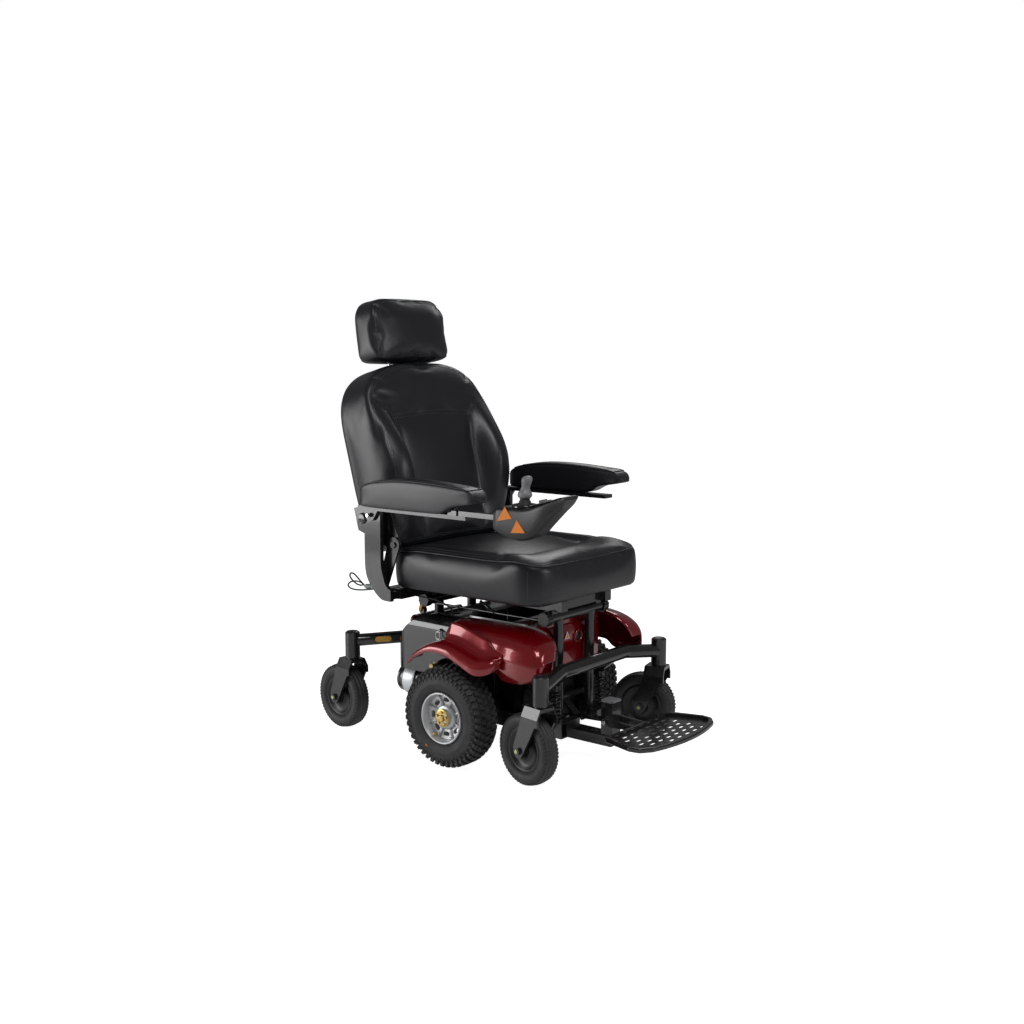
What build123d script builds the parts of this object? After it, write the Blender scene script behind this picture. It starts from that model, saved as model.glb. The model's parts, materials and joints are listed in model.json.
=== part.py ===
from build123d import *
import math
import os

# Power wheelchair with six wheels: two driven wheels under the middle and four swivel casters.
# Frame: +Z up, forward is -Y, the user's left is +X. The origin is on the floor, midway along the
# chair, straight below the drive axle.

os.makedirs("parts", exist_ok=True)

# ---------------------------------------------------------------- driving dimensions
# drive wheels
drive_radius = 130.0
drive_width = 87.0
drive_x = 264.3
drive_bead_radius = 66.0
drive_bore = 17.0
rim_face = 37.0

# casters
caster_radius = 90.0
caster_width = 50.0
caster_rim_radius = 57.0
caster_trail = 42.0
caster_axle = 12.0
stem_diameter = 20.0
stem_clearance = 0.05
housing_radius = 20.5
housing_base = 206.0
housing_height = 69.0
fork_wall = 6.0
fork_gap = 3.5

# suspension beams
beam_radius = 18.0
beam_z = 258.0
front_stem_x = 261.0
front_stem_y = -284.5
front_bend_x = 141.0
front_beam_y = -254.0
rear_stem_x = 202.0
rear_stem_y = 417.0
rear_bend_x = 78.0
rear_beam_y = 312.0
beam_pivot_y = -130.0
beam_pivot_z = 170.0
beam_pivot_pin = 16.0
beam_arm_x = 97.0
beam_arm_wall = 10.0
rocker_pin = 20.0
pin_clearance = 0.05

# chassis
rail_x = 105.0
rail_width = 24.0
rail_height = 40.0
rail_wall = 3.0
rail_base = 78.0
rail_front_y = -240.0
rail_rear_y = 262.0
post_x = 68.0
post_radius = 13.0
crossbar_radius = 14.0
front_post_y = -192.5
rear_post_y = 215.0
crossbar_z = 380.0
crossbar_half = 110.0
end_knob_radius = 18.0
end_knob_length = 22.0

# batteries, electronics and motors
battery_width = 176.0
battery_length = 130.0
battery_height = 160.0
module_size = (140.0, 190.0, 50.0)
motor_x = 150.0
motor_radius = 43.0
motor_rear_y = 262.0
gearbox_inner_x = 118.0
gearbox_outer_x = 196.0

# covers
cover_wall = 3.5
cover_top = 358.0
cover_inner_x = 140.0
cover_outer_x = 240.0
cover_split_y = 38.0
fender_inner_x = 208.0
fender_outer_x = 292.0
fender_wall = 5.0
front_cover_y = -165.0
rear_cover_half = 192.0
rear_cover_corner = 40.0
rear_cover_y = 272.0
rear_cover_base = 202.0
hoop_half = 100.0
hoop_y = 284.0
hoop_top = 318.0
hoop_base = 262.0
hoop_radius = 7.0

# seat
seat_rail_x = 95.0
seat_rail_width = 26.0
seat_rail_height = 26.0
seat_pan_wall = 3.0
saddle_rise = 5.5
seat_half_width = 235.0
seat_front_y = -253.0
seat_rear_y = 250.0
seat_thickness = 105.0
seat_corner = 62.0

# backrest
recline = 15.5
hinge_y = 207.0
hinge_z = 545.0
hinge_pin = 12.0
hinge_plate_x = 246.0
hinge_plate_wall = 6.0
back_half_width = 234.0
back_top = 488.0
back_bottom = 14.0
back_depth = 112.0
back_panel_wall = 8.0
bolster_depth = 56.0
bolster_pull = 26.0
headrest_post_x = 62.0
headrest_post_radius = 5.0
headrest_half_width = 143.0
headrest_height = 168.0
headrest_depth = 88.0

# armrests
arm_pivot_y = 262.0
arm_pivot_z = 622.0
arm_post_x = 268.0
arm_post_wall = 12.0
arm_post_depth = 58.0
arm_pin = 12.0
arm_gap = 1.5
slider_y = 211.0
slider_size = 20.0
slider_inner_x = 136.0
receiver_inner_x = 132.0
receiver_outer_x = 236.0
pad_width = 61.0
pad_front_y = -145.0
pad_rear_y = 267.0
pad_base = 650.0

# joystick control
control_width = 66.0
stick_y = -272.0
gimbal_z = 676.0
pocket_radius = 27.0
pocket_depth = 16.0
stick_height = 82.0

# footrest
foot_z = 108.0
foot_rim = 12.0
foot_front_y = -548.5
foot_hinge_y = -310.0
foot_hinge_z = 114.0
foot_pin = 10.0
foot_post_half = 19.0

# joystick lead
lead_diameter = 4.5
lead_hole = 12.0
plug_radius = 8.0

# ---------------------------------------------------------------- places that follow
pad_x = arm_post_x + arm_post_wall / 2 + arm_gap + pad_width / 2
arm_inner_x = pad_x - pad_width / 2
control_x = -pad_x
rail_top = rail_base + rail_height
seat_rail_base = crossbar_z + crossbar_radius + saddle_rise
seat_base = seat_rail_base + seat_rail_height + seat_pan_wall
slider_z = seat_rail_base + seat_rail_height / 2
housing_top = housing_base + housing_height
caster_axle_z = caster_radius
lean = math.radians(recline)
back_plane = Plane(
    origin=(0, hinge_y, hinge_z),
    x_dir=(1, 0, 0),
    z_dir=(0, -math.cos(lean), math.sin(lean)),
)


def save(part, label):
    """Name a finished piece and write it to its own file."""
    part.label = label
    export_step(part, f"parts/{label}.step")


# ---------------------------------------------------------------- wheels
def drive_tyre(side, label):
    with BuildPart() as tyre:
        half = drive_width / 2
        with BuildSketch(Plane.XZ) as section:
            with BuildLine():
                Polyline(
                    (-half + 12, drive_bead_radius),
                    (half - 12, drive_bead_radius),
                    (half - 3, drive_bead_radius + 12),
                    (half, drive_bead_radius + 30),
                    (half - 5, drive_radius - 10),
                    (half - 20, drive_radius - 1),
                    (half - 34, drive_radius),
                    (-half + 34, drive_radius),
                    (-half + 20, drive_radius - 1),
                    (-half + 5, drive_radius - 10),
                    (-half, drive_bead_radius + 30),
                    (-half + 3, drive_bead_radius + 12),
                    close=True,
                )
            make_face()
        revolve(axis=Axis.X)
    save(tyre.part.moved(Location((side * drive_x, 0, drive_radius))), label)


def drive_rim(side, label):
    """Cast rim with eight windows, its bolted hub and the stub axle that enters the gearbox."""
    half = drive_width / 2 - 12
    axle_length = drive_x - gearbox_inner_x - 20
    with BuildPart() as rim:
        with BuildSketch(Plane.XZ):
            with BuildLine():
                Polyline(
                    (-half, drive_bead_radius),
                    (rim_face, drive_bead_radius),
                    (rim_face, drive_bead_radius - 5),
                    (18, drive_bead_radius - 9),
                    (14, 30),
                    (24, 26),
                    (24, drive_bore / 2),
                    (-16, drive_bore / 2),
                    (-16, 26),
                    (2, 30),
                    (4, drive_bead_radius - 9),
                    (-half, drive_bead_radius - 5),
                    close=True,
                )
            make_face()
        revolve(axis=Axis.X)
        with BuildSketch(Plane.YZ.offset(-5)):
            with PolarLocations(44, 8):
                SlotOverall(20, 11, rotation=90)
        extrude(amount=30, mode=Mode.SUBTRACT)
    with BuildPart() as hub:
        with Locations(Location((24 - (axle_length + 24) / 2, 0, 0), (0, 90, 0))):
            Cylinder(drive_bore / 2, axle_length + 24)
        with Locations(Location((27.5, 0, 0), (0, 90, 0))):
            Cylinder(22, 7)
        with BuildSketch(Plane.YZ.offset(31)):
            with PolarLocations(15, 5):
                RegularPolygon(4, 6)
        extrude(amount=3.5)
        with Locations(Location((33, 0, 0), (0, 90, 0))):
            Cylinder(8, 6)
    pieces = [rim.part, hub.part]
    if side < 0:
        pieces = [mirror(piece, about=Plane.YZ) for piece in pieces]
    wheel = Compound(children=pieces)
    save(wheel.moved(Location((side * drive_x, 0, drive_radius))), label)


def caster_place(x, y, swivel):
    """Where a caster stands: its stem axis, and the turn of its fork about it."""
    return Location((x, y, 0), (0, 0, swivel))


def caster_tyre(place, label):
    half = caster_width / 2
    with BuildPart() as tyre:
        with BuildSketch(Plane.XZ):
            with BuildLine():
                Polyline(
                    (-half + 8, caster_rim_radius),
                    (half - 8, caster_rim_radius),
                    (half - 2, caster_rim_radius + 8),
                    (half, caster_rim_radius + 16),
                    (half - 3, caster_radius - 8),
                    (half - 11, caster_radius - 1),
                    (half - 18, caster_radius),
                    (-half + 18, caster_radius),
                    (-half + 11, caster_radius - 1),
                    (-half + 3, caster_radius - 8),
                    (-half, caster_rim_radius + 16),
                    (-half + 2, caster_rim_radius + 8),
                    close=True,
                )
            make_face()
        revolve(axis=Axis.X)
    hub = Location((0, caster_trail, caster_axle_z))
    save(tyre.part.moved(place * hub), label)


def caster_rim(place, label):
    bore = caster_axle / 2 + pin_clearance
    half = caster_width / 2
    with BuildPart() as rim:
        with BuildSketch(Plane.XZ):
            with BuildLine():
                Polyline(
                    (-half + 8, caster_rim_radius),
                    (half - 8, caster_rim_radius),
                    (half - 8, caster_rim_radius - 5),
                    (5, caster_rim_radius - 8),
                    (5, 22),
                    (half, 18),
                    (half, bore),
                    (-half, bore),
                    (-half, 18),
                    (-5, 22),
                    (-5, caster_rim_radius - 8),
                    (-half + 8, caster_rim_radius - 5),
                    close=True,
                )
            make_face()
        revolve(axis=Axis.X)
    hub = Location((0, caster_trail, caster_axle_z))
    save(rim.part.moved(place * hub), label)


def caster_fork(place, label):
    """Fork with flat cheeks on sloped shoulders, its stem, thrust washer and axle bolt."""
    inner = caster_width / 2 + fork_gap
    outer = inner + fork_wall
    crown_top = housing_base - 3
    cheek_top = crown_top - 8
    with BuildPart() as fork:
        with BuildSketch(Plane.XZ.offset(-32)):
            with BuildLine():
                Polyline(
                    (-outer, cheek_top - 16),
                    (-outer + 12, crown_top),
                    (outer - 12, crown_top),
                    (outer, cheek_top - 16),
                    (outer, cheek_top - 34),
                    (inner, cheek_top - 34),
                    (inner, cheek_top - 14),
                    (inner - 8, crown_top - 9),
                    (-inner + 8, crown_top - 9),
                    (-inner, cheek_top - 14),
                    (-inner, cheek_top - 34),
                    (-outer, cheek_top - 34),
                    close=True,
                )
            make_face()
        extrude(amount=56)
        for cheek_x in (-outer, inner):
            with BuildSketch(Plane.YZ.offset(cheek_x)):
                with BuildLine():
                    Polyline(
                        (-24, cheek_top - 20),
                        (32, cheek_top - 20),
                        (caster_trail + 17, caster_axle_z + 12),
                        (caster_trail + 17, caster_axle_z - 4),
                        (caster_trail + 7, caster_axle_z - 17),
                        (caster_trail - 8, caster_axle_z - 17),
                        (caster_trail - 18, caster_axle_z - 2),
                        close=True,
                    )
                make_face()
            extrude(amount=fork_wall)
        with Locations((0, 0, (crown_top + housing_top - 4) / 2)):
            Cylinder(stem_diameter / 2, housing_top - 4 - crown_top)
        with Locations((0, 0, crown_top + 1.2)):
            Cylinder(17, 2.4)
        with Locations(Location((0, caster_trail, caster_axle_z), (0, 90, 0))):
            Cylinder(caster_axle / 2, 2 * outer + 4)
        for end in (-1, 1):
            bolt_x = end * (outer + 3)
            with Locations(Location((bolt_x, caster_trail, caster_axle_z), (0, 90, 0))):
                Cylinder(9.5, 6)
    save(fork.part.moved(place), label)


# ---------------------------------------------------------------- suspension
def disc(x, y, z, radius):
    """A flat disc facing up, to be extruded in the part being built."""
    with BuildSketch(Plane.XY.offset(z)) as round_face:
        with Locations((x, y)):
            Circle(radius)
    return round_face.sketch


def front_beam():
    """Bent tube with a stem housing at each end and two arms back to the chassis pivot."""
    arm_rise = beam_z - beam_pivot_z
    arm_run = front_beam_y - beam_pivot_y
    slope = math.atan2(arm_rise, arm_run)
    inner_x = beam_arm_x - beam_arm_wall / 2
    outer_z = housing_top - 32
    with BuildPart() as beam:
        with BuildLine() as path:
            FilletPolyline(
                (-front_stem_x, front_stem_y, outer_z),
                (-front_bend_x, front_beam_y, beam_z),
                (front_bend_x, front_beam_y, beam_z),
                (front_stem_x, front_stem_y, outer_z),
                radius=60,
            )
        with BuildSketch(Plane(origin=path.line @ 0, z_dir=path.line % 0)):
            Circle(beam_radius)
        sweep(path=path.line)
        for x in (-front_stem_x, front_stem_x):
            extrude(disc(x, front_stem_y, housing_base, housing_radius), amount=housing_height)
        for plate_x in (-inner_x - beam_arm_wall, inner_x):
            with BuildSketch(Plane.YZ.offset(plate_x)):
                with Locations((front_beam_y + 4, beam_z - 3)):
                    Circle(15)
                with Locations((beam_pivot_y, beam_pivot_z)):
                    Circle(17)
                make_hull()
            extrude(amount=beam_arm_wall)
            with BuildSketch(Plane.YZ.offset(plate_x - 1)):
                with Locations((beam_pivot_y, beam_pivot_z)):
                    Circle(beam_pivot_pin / 2 + pin_clearance)
            extrude(amount=beam_arm_wall + 2, mode=Mode.SUBTRACT)
        for x in (-beam_arm_x, beam_arm_x):
            with Locations((x, spring_y, (spring_top + spring_top + 14) / 2)):
                Cylinder(12, 14)
        for x in (-front_stem_x, front_stem_x):
            stem_bore = disc(x, front_stem_y, housing_base, stem_diameter / 2 + stem_clearance)
            extrude(stem_bore, amount=housing_height - 3, mode=Mode.SUBTRACT)
    save(beam.part, "front_beam")
    return slope


def rear_beam():
    """Rocker: a centre boss on a pin along the chair, and an arm out to each rear caster."""
    with BuildPart() as beam:
        with BuildLine() as path:
            FilletPolyline(
                (-rear_stem_x, rear_stem_y, beam_z - 6),
                (-rear_bend_x, rear_beam_y, beam_z),
                (rear_bend_x, rear_beam_y, beam_z),
                (rear_stem_x, rear_stem_y, beam_z - 6),
                radius=34,
            )
        with BuildSketch(Plane(origin=path.line @ 0, z_dir=path.line % 0)):
            Circle(beam_radius - 1)
        sweep(path=path.line)
        for x in (-rear_stem_x, rear_stem_x):
            extrude(disc(x, rear_stem_y, housing_base, housing_radius), amount=housing_height)
        with BuildSketch(Plane.XZ.offset(-rear_beam_y - 24)):
            with Locations((0, beam_z)):
                Circle(24)
        extrude(amount=44)
        with BuildSketch(Plane.XZ.offset(-rear_beam_y - 25)):
            with Locations((0, beam_z)):
                Circle(rocker_pin / 2 + pin_clearance)
        extrude(amount=46, mode=Mode.SUBTRACT)
        for x in (-rear_stem_x, rear_stem_x):
            stem_bore = disc(x, rear_stem_y, housing_base, stem_diameter / 2 + stem_clearance)
            extrude(stem_bore, amount=housing_height - 3, mode=Mode.SUBTRACT)
    save(beam.part, "rear_beam")


spring_y = -207.0
spring_radius = 13.0
spring_top = 194.0


def front_springs():
    """The pair of coil springs under the front beam's arms, as corrugated sleeves."""
    turns = 6
    pitch = (spring_top - rail_top) / turns
    outline = [(7, 0)]
    for turn in range(turns):
        outline += [(spring_radius, (turn + 0.25) * pitch)]
        outline += [(spring_radius, (turn + 0.75) * pitch)]
        outline += [(spring_radius - 3, (turn + 1) * pitch)]
    outline += [(7, turns * pitch)]
    with BuildPart() as springs:
        with BuildSketch(Plane.XZ):
            with BuildLine():
                Polyline(*outline, close=True)
            make_face()
        revolve(axis=Axis.Z)
    sleeve = springs.part
    pair = [
        sleeve.moved(Location((x, spring_y, rail_top))) for x in (-beam_arm_x, beam_arm_x)
    ]
    save(Compound(children=pair), "front_springs")


# ---------------------------------------------------------------- chassis
def chassis_frame():
    """Welded frame: two box rails, cross members, battery tray, pivots and cover brackets."""
    rail_length = rail_rear_y - rail_front_y
    rail_mid = (rail_rear_y + rail_front_y) / 2
    inside = rail_x - rail_width / 2
    plate_x = beam_arm_x + beam_arm_wall / 2 + 3
    bracket_top = cover_top - cover_wall
    with BuildPart() as frame:
        for x in (-rail_x, rail_x):
            with Locations((x, rail_mid, rail_base + rail_height / 2)):
                Box(rail_width, rail_length, rail_height)
        for y in (rear_post_y, rail_rear_y - 12):
            with Locations((0, y, rail_top - 12)):
                Box(2 * rail_x, 24, 24)
        for y in (rail_front_y + 12, front_post_y - 2):
            for x in (-(inside + strap_gap) / 2, (inside + strap_gap) / 2):
                with Locations((x, y, rail_top - 12)):
                    Box(inside - strap_gap + 4, 24, 24)
        with Locations((0, 0, rail_base + 2)):
            Box(2 * inside + 4, 300, 4)
        with Locations((0, rail_rear_y - 4, (rail_base + beam_z + 30) / 2)):
            Box(90, 8, beam_z + 30 - rail_base)
        with BuildSketch(Plane.XZ.offset(-rail_rear_y + 1)):
            with Locations((0, beam_z)):
                Circle(rocker_pin / 2)
        extrude(amount=-(rear_beam_y + 34 - rail_rear_y))
        with BuildSketch(Plane.XZ.offset(-rear_beam_y - 25)):
            with Locations((0, beam_z)):
                Circle(15)
        extrude(amount=-7)
        for side in (-1, 1):
            with BuildSketch(Plane.YZ.offset(side * plate_x)):
                with Locations((beam_pivot_y, beam_pivot_z)):
                    Circle(16)
                with Locations((beam_pivot_y, rail_top - 10)):
                    Rectangle(44, 20)
                make_hull()
            extrude(amount=side * 6)
            with BuildSketch(Plane.YZ.offset(side * (plate_x + 1))):
                with Locations((beam_pivot_y, beam_pivot_z)):
                    Circle(beam_pivot_pin / 2)
            extrude(amount=-side * (beam_arm_wall + 4))
            for y in cover_bracket_ys:
                with Locations((side * 95.5, y, (rail_base + bracket_top) / 2)):
                    Box(5, 25, bracket_top - rail_base)
        for y in cover_bracket_ys:
            with Locations((0, y, bracket_top - 2.5)):
                Box(2 * cover_inner_x + 14, 25, 5)
        with BuildSketch(Plane.YZ.offset(-plate_x)):
            with Locations((strap_y, strap_z)):
                Circle(9)
        extrude(amount=2 * plate_x)
        for side in (-1, 1):
            with Locations((side * (plate_x + 3), strap_y, (rail_top + strap_z) / 2)):
                Box(6, 18, strap_z - rail_top + 18)
        for x in (-rail_x, rail_x):
            with Locations((x, rail_mid, rail_base + rail_height / 2)):
                Box(
                    rail_width - 2 * rail_wall,
                    rail_length + 2,
                    rail_height - 2 * rail_wall,
                    mode=Mode.SUBTRACT,
                )
    save(frame.part, "chassis_frame")


cover_bracket_ys = (-85.0, 120.0)
strap_y = -156.0
strap_z = 148.0
strap_gap = 40.0


def batteries():
    with BuildPart() as block:
        with Locations((0, 0, battery_height / 2 - 4)):
            Box(battery_width, battery_length, battery_height - 8)
        fillet(block.edges().filter_by(Axis.Z), 6)
        with Locations((0, 0, battery_height - 6)):
            Box(battery_width - 10, battery_length - 10, 8)
        with Locations((-60, 0, battery_height - 1), (60, 0, battery_height - 1)):
            Box(16, 16, 2)
    base = rail_base + 4
    pair = [
        block.part.moved(Location((0, y, base)))
        for y in (-battery_length / 2 - 2, battery_length / 2 + 2)
    ]
    save(Compound(children=pair), "batteries")


def power_module():
    with BuildPart() as module:
        base = rail_base + 4 + battery_height
        with Locations((0, 0, base + module_size[2] / 2)):
            Box(*module_size)
        fillet(module.edges().filter_by(Axis.Z), 8)
        for index in range(7):
            with Locations((0, -66 + index * 22, base + module_size[2])):
                Box(module_size[0] - 20, 8, 8, mode=Mode.SUBTRACT)
    save(module.part, "power_module")


def gearmotors():
    """Right-angle gearmotors: a gearbox at the axle and a motor lying back along the chair."""
    made = []
    axis_z = 166.0
    gear_mid = (gearbox_inner_x + gearbox_outer_x) / 2
    for side in (-1, 1):
        with BuildPart() as motor:
            with BuildSketch(Plane.YZ.offset(side * gearbox_inner_x)):
                with Locations((0, drive_radius)):
                    Circle(44)
                with Locations((48, axis_z)):
                    Rectangle(40, 72)
                make_hull()
            extrude(amount=side * (gearbox_outer_x - gearbox_inner_x))
            with BuildSketch(Plane.XZ.offset(-68)):
                with Locations((side * motor_x, axis_z)):
                    Circle(motor_radius)
            extrude(amount=-10)
            with BuildSketch(Plane.XZ.offset(-78)):
                with Locations((side * motor_x, axis_z)):
                    Circle(motor_radius - 4)
            extrude(amount=-120)
            with BuildSketch(Plane.XZ.offset(-198)):
                with Locations((side * motor_x, axis_z)):
                    Circle(motor_radius)
            extrude(amount=-(motor_rear_y - 198 - 22))
            with BuildSketch(Plane.XZ.offset(-(motor_rear_y - 22))):
                with Locations((side * motor_x, axis_z)):
                    Circle(motor_radius - 5)
            extrude(amount=-22)
            with BuildSketch(Plane.YZ.offset(side * (gearbox_inner_x + 10))):
                with Locations((0, drive_radius)):
                    Circle(drive_bore / 2 + pin_clearance)
            extrude(amount=side * 90, mode=Mode.SUBTRACT)
            with Locations((side * (gearbox_inner_x - 0.5), 0, rail_top + 3)):
                Box(14, 60, 6)
            with BuildSketch(Plane.YZ.offset(side * (gearbox_outer_x - 2))):
                with Locations((lever_y, lever_z)):
                    Circle(lever_pin / 2)
            extrude(amount=side * 12)
        made.append(motor.part)
    save(Compound(children=made), "gearmotors")
    return gear_mid


lever_y = 50.0
lever_z = 176.0
lever_pin = 10.0


def freewheel_lever(side, label):
    """Flat lever that lets the drive go so that the chair can be pushed."""
    near = gearbox_outer_x + 0.6
    with BuildPart() as lever:
        with BuildSketch(Plane.YZ.offset(side * near)):
            with Locations((lever_y, lever_z)):
                Circle(11)
            with Locations((lever_y + 44, lever_z + 62)):
                Circle(7)
            make_hull()
        extrude(amount=side * 5)
        with BuildSketch(Plane.YZ.offset(side * (near - 0.5))):
            with Locations((lever_y, lever_z)):
                Circle(lever_pin / 2 + pin_clearance)
        extrude(amount=side * 7, mode=Mode.SUBTRACT)
        with BuildSketch(Plane.YZ.offset(side * near)):
            with Locations((lever_y + 44, lever_z + 62)):
                Circle(10)
        extrude(amount=side * 12)
    save(lever.part, label)


# ---------------------------------------------------------------- covers
def side_cover(side, label):
    """Glossy side shell with a rounded front pod, and the fender band over the drive wheel."""
    top = cover_top
    inner_top = cover_top - cover_wall
    with BuildPart() as cover:
        with BuildSketch(Plane.YZ.offset(side * cover_inner_x)):
            with BuildLine():
                Polyline((cover_split_y, 303), (cover_split_y, top), (-130, top))
                Spline((-130, top), (-205, 338), (-240, 290), tangents=((-1, 0), (-0.1, -1)))
                Spline((-240, 290), (-228, 250), (-190, 240), tangents=((0, -1), (1, 0)))
                Polyline((-190, 240), (-150, 240), (-124, 262), (-90, 252))
                ThreePointArc((-90, 252), (-30, 286), (cover_split_y, 303))
            make_face()
        extrude(amount=side * (cover_outer_x - cover_inner_x))
        outline = cover.faces().sort_by(Axis.X)[-1 if side > 0 else 0]
        fillet(outline.edges(), 9)
        with BuildSketch(Plane.YZ.offset(side * (cover_inner_x - 1))):
            with BuildLine():
                Polyline((cover_split_y + 1, 200), (cover_split_y + 1, inner_top), (-130, inner_top))
                Spline(
                    (-130, inner_top), (-202, 335), (-236, 290), tangents=((-1, 0), (-0.1, -1))
                )
                Polyline((-236, 290), (-226, 255), (-200, 200), (cover_split_y + 1, 200))
            make_face()
        extrude(
            amount=side * (cover_outer_x - cover_inner_x - cover_wall + 1),
            mode=Mode.SUBTRACT,
        )
        with BuildSketch(Plane.YZ.offset(side * fender_inner_x)):
            with BuildLine():
                ThreePointArc((-92, 256), (25, 314), (142, 256))
                Line((142, 256), (138, 251))
                ThreePointArc((138, 251), (25, 309), (-89, 251))
                Line((-89, 251), (-92, 256))
            make_face()
        extrude(amount=side * (fender_outer_x - fender_inner_x))
    save(cover.part, label)


def front_cover():
    """Panel between the two pods, behind the front seat posts, with a round socket recess."""
    half = cover_inner_x - 1
    with BuildPart() as cover:
        with BuildSketch(Plane.XZ.offset(-front_cover_y - 2)):
            with BuildLine():
                Polyline(
                    (-half, 230),
                    (half, 230),
                    (half, cover_top - 6),
                    (half - 30, cover_top),
                    (-half + 30, cover_top),
                    (-half, cover_top - 6),
                    close=True,
                )
            make_face()
        extrude(amount=4)
        with Locations((0, front_cover_y + 33, cover_top - cover_wall / 2)):
            Box(2 * half, 66, cover_wall)
        for x in (-36, 36):
            with BuildSketch(Plane.XZ.offset(-front_cover_y + 2)):
                with Locations((x, 306)):
                    Circle(17)
            extrude(amount=5)
            with BuildSketch(Plane.XZ.offset(-front_cover_y + 7)):
                with Locations((x, 306)):
                    Circle(13)
            extrude(amount=-5, mode=Mode.SUBTRACT)
    save(cover.part, "front_cover")


def rear_cover_outline(inset):
    """Closed outline of the rear cover's side, pulled in by a wall thickness."""
    reach = rear_cover_y - inset
    top = cover_top - inset
    front = cover_split_y + 1 if not inset else cover_split_y
    with BuildSketch() as outline:
        with BuildLine():
            Polyline(
                (140, top),
                (front, top),
                (front, rear_cover_base - inset),
                (reach, rear_cover_base - inset),
            )
            ThreePointArc(
                (reach, rear_cover_base - inset), (232 - inset, 310 - inset), (140, top)
            )
        make_face()
    return outline.sketch


def rear_cover_block(inset):
    """Solid form of the rear cover, round at its sides, pulled in by a wall thickness."""
    half = rear_cover_half - inset
    corner = rear_cover_corner - inset
    depth = 2 * (rear_cover_y - inset)
    height = 2 * (cover_top - inset)
    with BuildPart() as block:
        with BuildSketch(Plane.YZ.offset(-half)):
            add(rear_cover_outline(inset))
        extrude(amount=2 * half)
        with BuildSketch(Plane.XY):
            RectangleRounded(2 * half, depth, 1.2 * corner)
        extrude(amount=height, mode=Mode.INTERSECT)
        with BuildSketch(Plane.XZ.offset(-rear_cover_y)):
            RectangleRounded(2 * half, height, corner)
        extrude(amount=2 * rear_cover_y, mode=Mode.INTERSECT)
    return block.part


def rear_cover():
    """Black cover over the motors, open below and in front, with holes for the seat posts."""
    with BuildPart() as cover:
        add(rear_cover_block(0))
        add(rear_cover_block(cover_wall), mode=Mode.SUBTRACT)
        with BuildSketch(Plane.XY.offset(rear_cover_base)):
            with Locations((-post_x, rear_post_y), (post_x, rear_post_y)):
                Circle(post_radius + 2)
            with Locations(lead_route[0][:2]):
                Circle(lead_hole)
        extrude(amount=200, mode=Mode.SUBTRACT)
        with Locations((0, rail_rear_y, (rear_cover_base + beam_z + 32) / 2)):
            Box(94, 30, beam_z + 32 - rear_cover_base, mode=Mode.SUBTRACT)
    save(cover.part, "rear_cover")


def rear_hoop():
    """Red hoop at the back, on two short feet."""
    with BuildPart() as hoop:
        with BuildLine() as path:
            FilletPolyline(
                (-hoop_half, rear_cover_y - 3, hoop_base),
                (-hoop_half, hoop_y, hoop_base),
                (-hoop_half, hoop_y, hoop_top),
                (hoop_half, hoop_y, hoop_top),
                (hoop_half, hoop_y, hoop_base),
                (hoop_half, rear_cover_y - 3, hoop_base),
                radius=hoop_radius + 1,
            )
        with BuildSketch(Plane(origin=path.line @ 0, z_dir=path.line % 0)):
            Circle(hoop_radius)
        sweep(path=path.line)
    save(hoop.part, "rear_hoop")


# ---------------------------------------------------------------- seat
def seat_tower():
    """Front and rear seat stands: two posts each, under a round crossbar."""
    made = []
    for y in (front_post_y, rear_post_y):
        with BuildPart() as stand:
            with BuildSketch(Plane.XY.offset(rail_top)):
                with Locations((-post_x, y), (post_x, y)):
                    Circle(post_radius)
            extrude(amount=crossbar_z - rail_top)
            with BuildSketch(Plane.YZ.offset(-crossbar_half)):
                with Locations((y, crossbar_z)):
                    Circle(crossbar_radius)
            extrude(amount=2 * crossbar_half)
            if y > 0:
                for x in (-release_x - 5.6, -release_x + 5.6):
                    with BuildSketch(Plane.YZ.offset(x - 2)):
                        with Locations((y, crossbar_z)):
                            Circle(10)
                        with Locations((release_y, release_z)):
                            Circle(9)
                        make_hull()
                    extrude(amount=4)
                with BuildSketch(Plane.YZ.offset(-release_x - 9)):
                    with Locations((release_y, release_z)):
                        Circle(release_pin / 2)
                extrude(amount=18)
        made.append(stand.part)
    save(Compound(children=made), "seat_tower")


release_x = 92.0
release_y = 241.0
release_z = 380.0
release_pin = 8.0


def seat_release_lever():
    """Small lever behind the rear crossbar that unlocks the seat."""
    with BuildPart() as lever:
        with BuildSketch(Plane.YZ.offset(-release_x - 3)):
            with Locations((release_y, release_z)):
                Circle(8)
            with Locations((release_y + 12, release_z - 38)):
                Circle(6)
            make_hull()
        extrude(amount=6)
        with BuildSketch(Plane.YZ.offset(-release_x - 4)):
            with Locations((release_y, release_z)):
                Circle(release_pin / 2 + pin_clearance)
        extrude(amount=8, mode=Mode.SUBTRACT)
        with BuildSketch(Plane.YZ.offset(-release_x - 7)):
            with Locations((release_y + 12, release_z - 38)):
                Circle(9)
        extrude(amount=14)
    save(lever.part, "seat_release_lever")


def end_knobs():
    """Ribbed knobs on the four ends of the crossbars."""
    made = []
    for y in (front_post_y, rear_post_y):
        for side in (-1, 1):
            with BuildPart() as knob:
                with BuildSketch(Plane.YZ.offset(side * crossbar_half)):
                    with Locations((y, crossbar_z)):
                        Circle(end_knob_radius)
                        with PolarLocations(end_knob_radius, 12):
                            Circle(2.2, mode=Mode.SUBTRACT)
                extrude(amount=side * end_knob_length)
            made.append(knob.part)
    save(Compound(children=made), "end_knobs")


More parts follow.
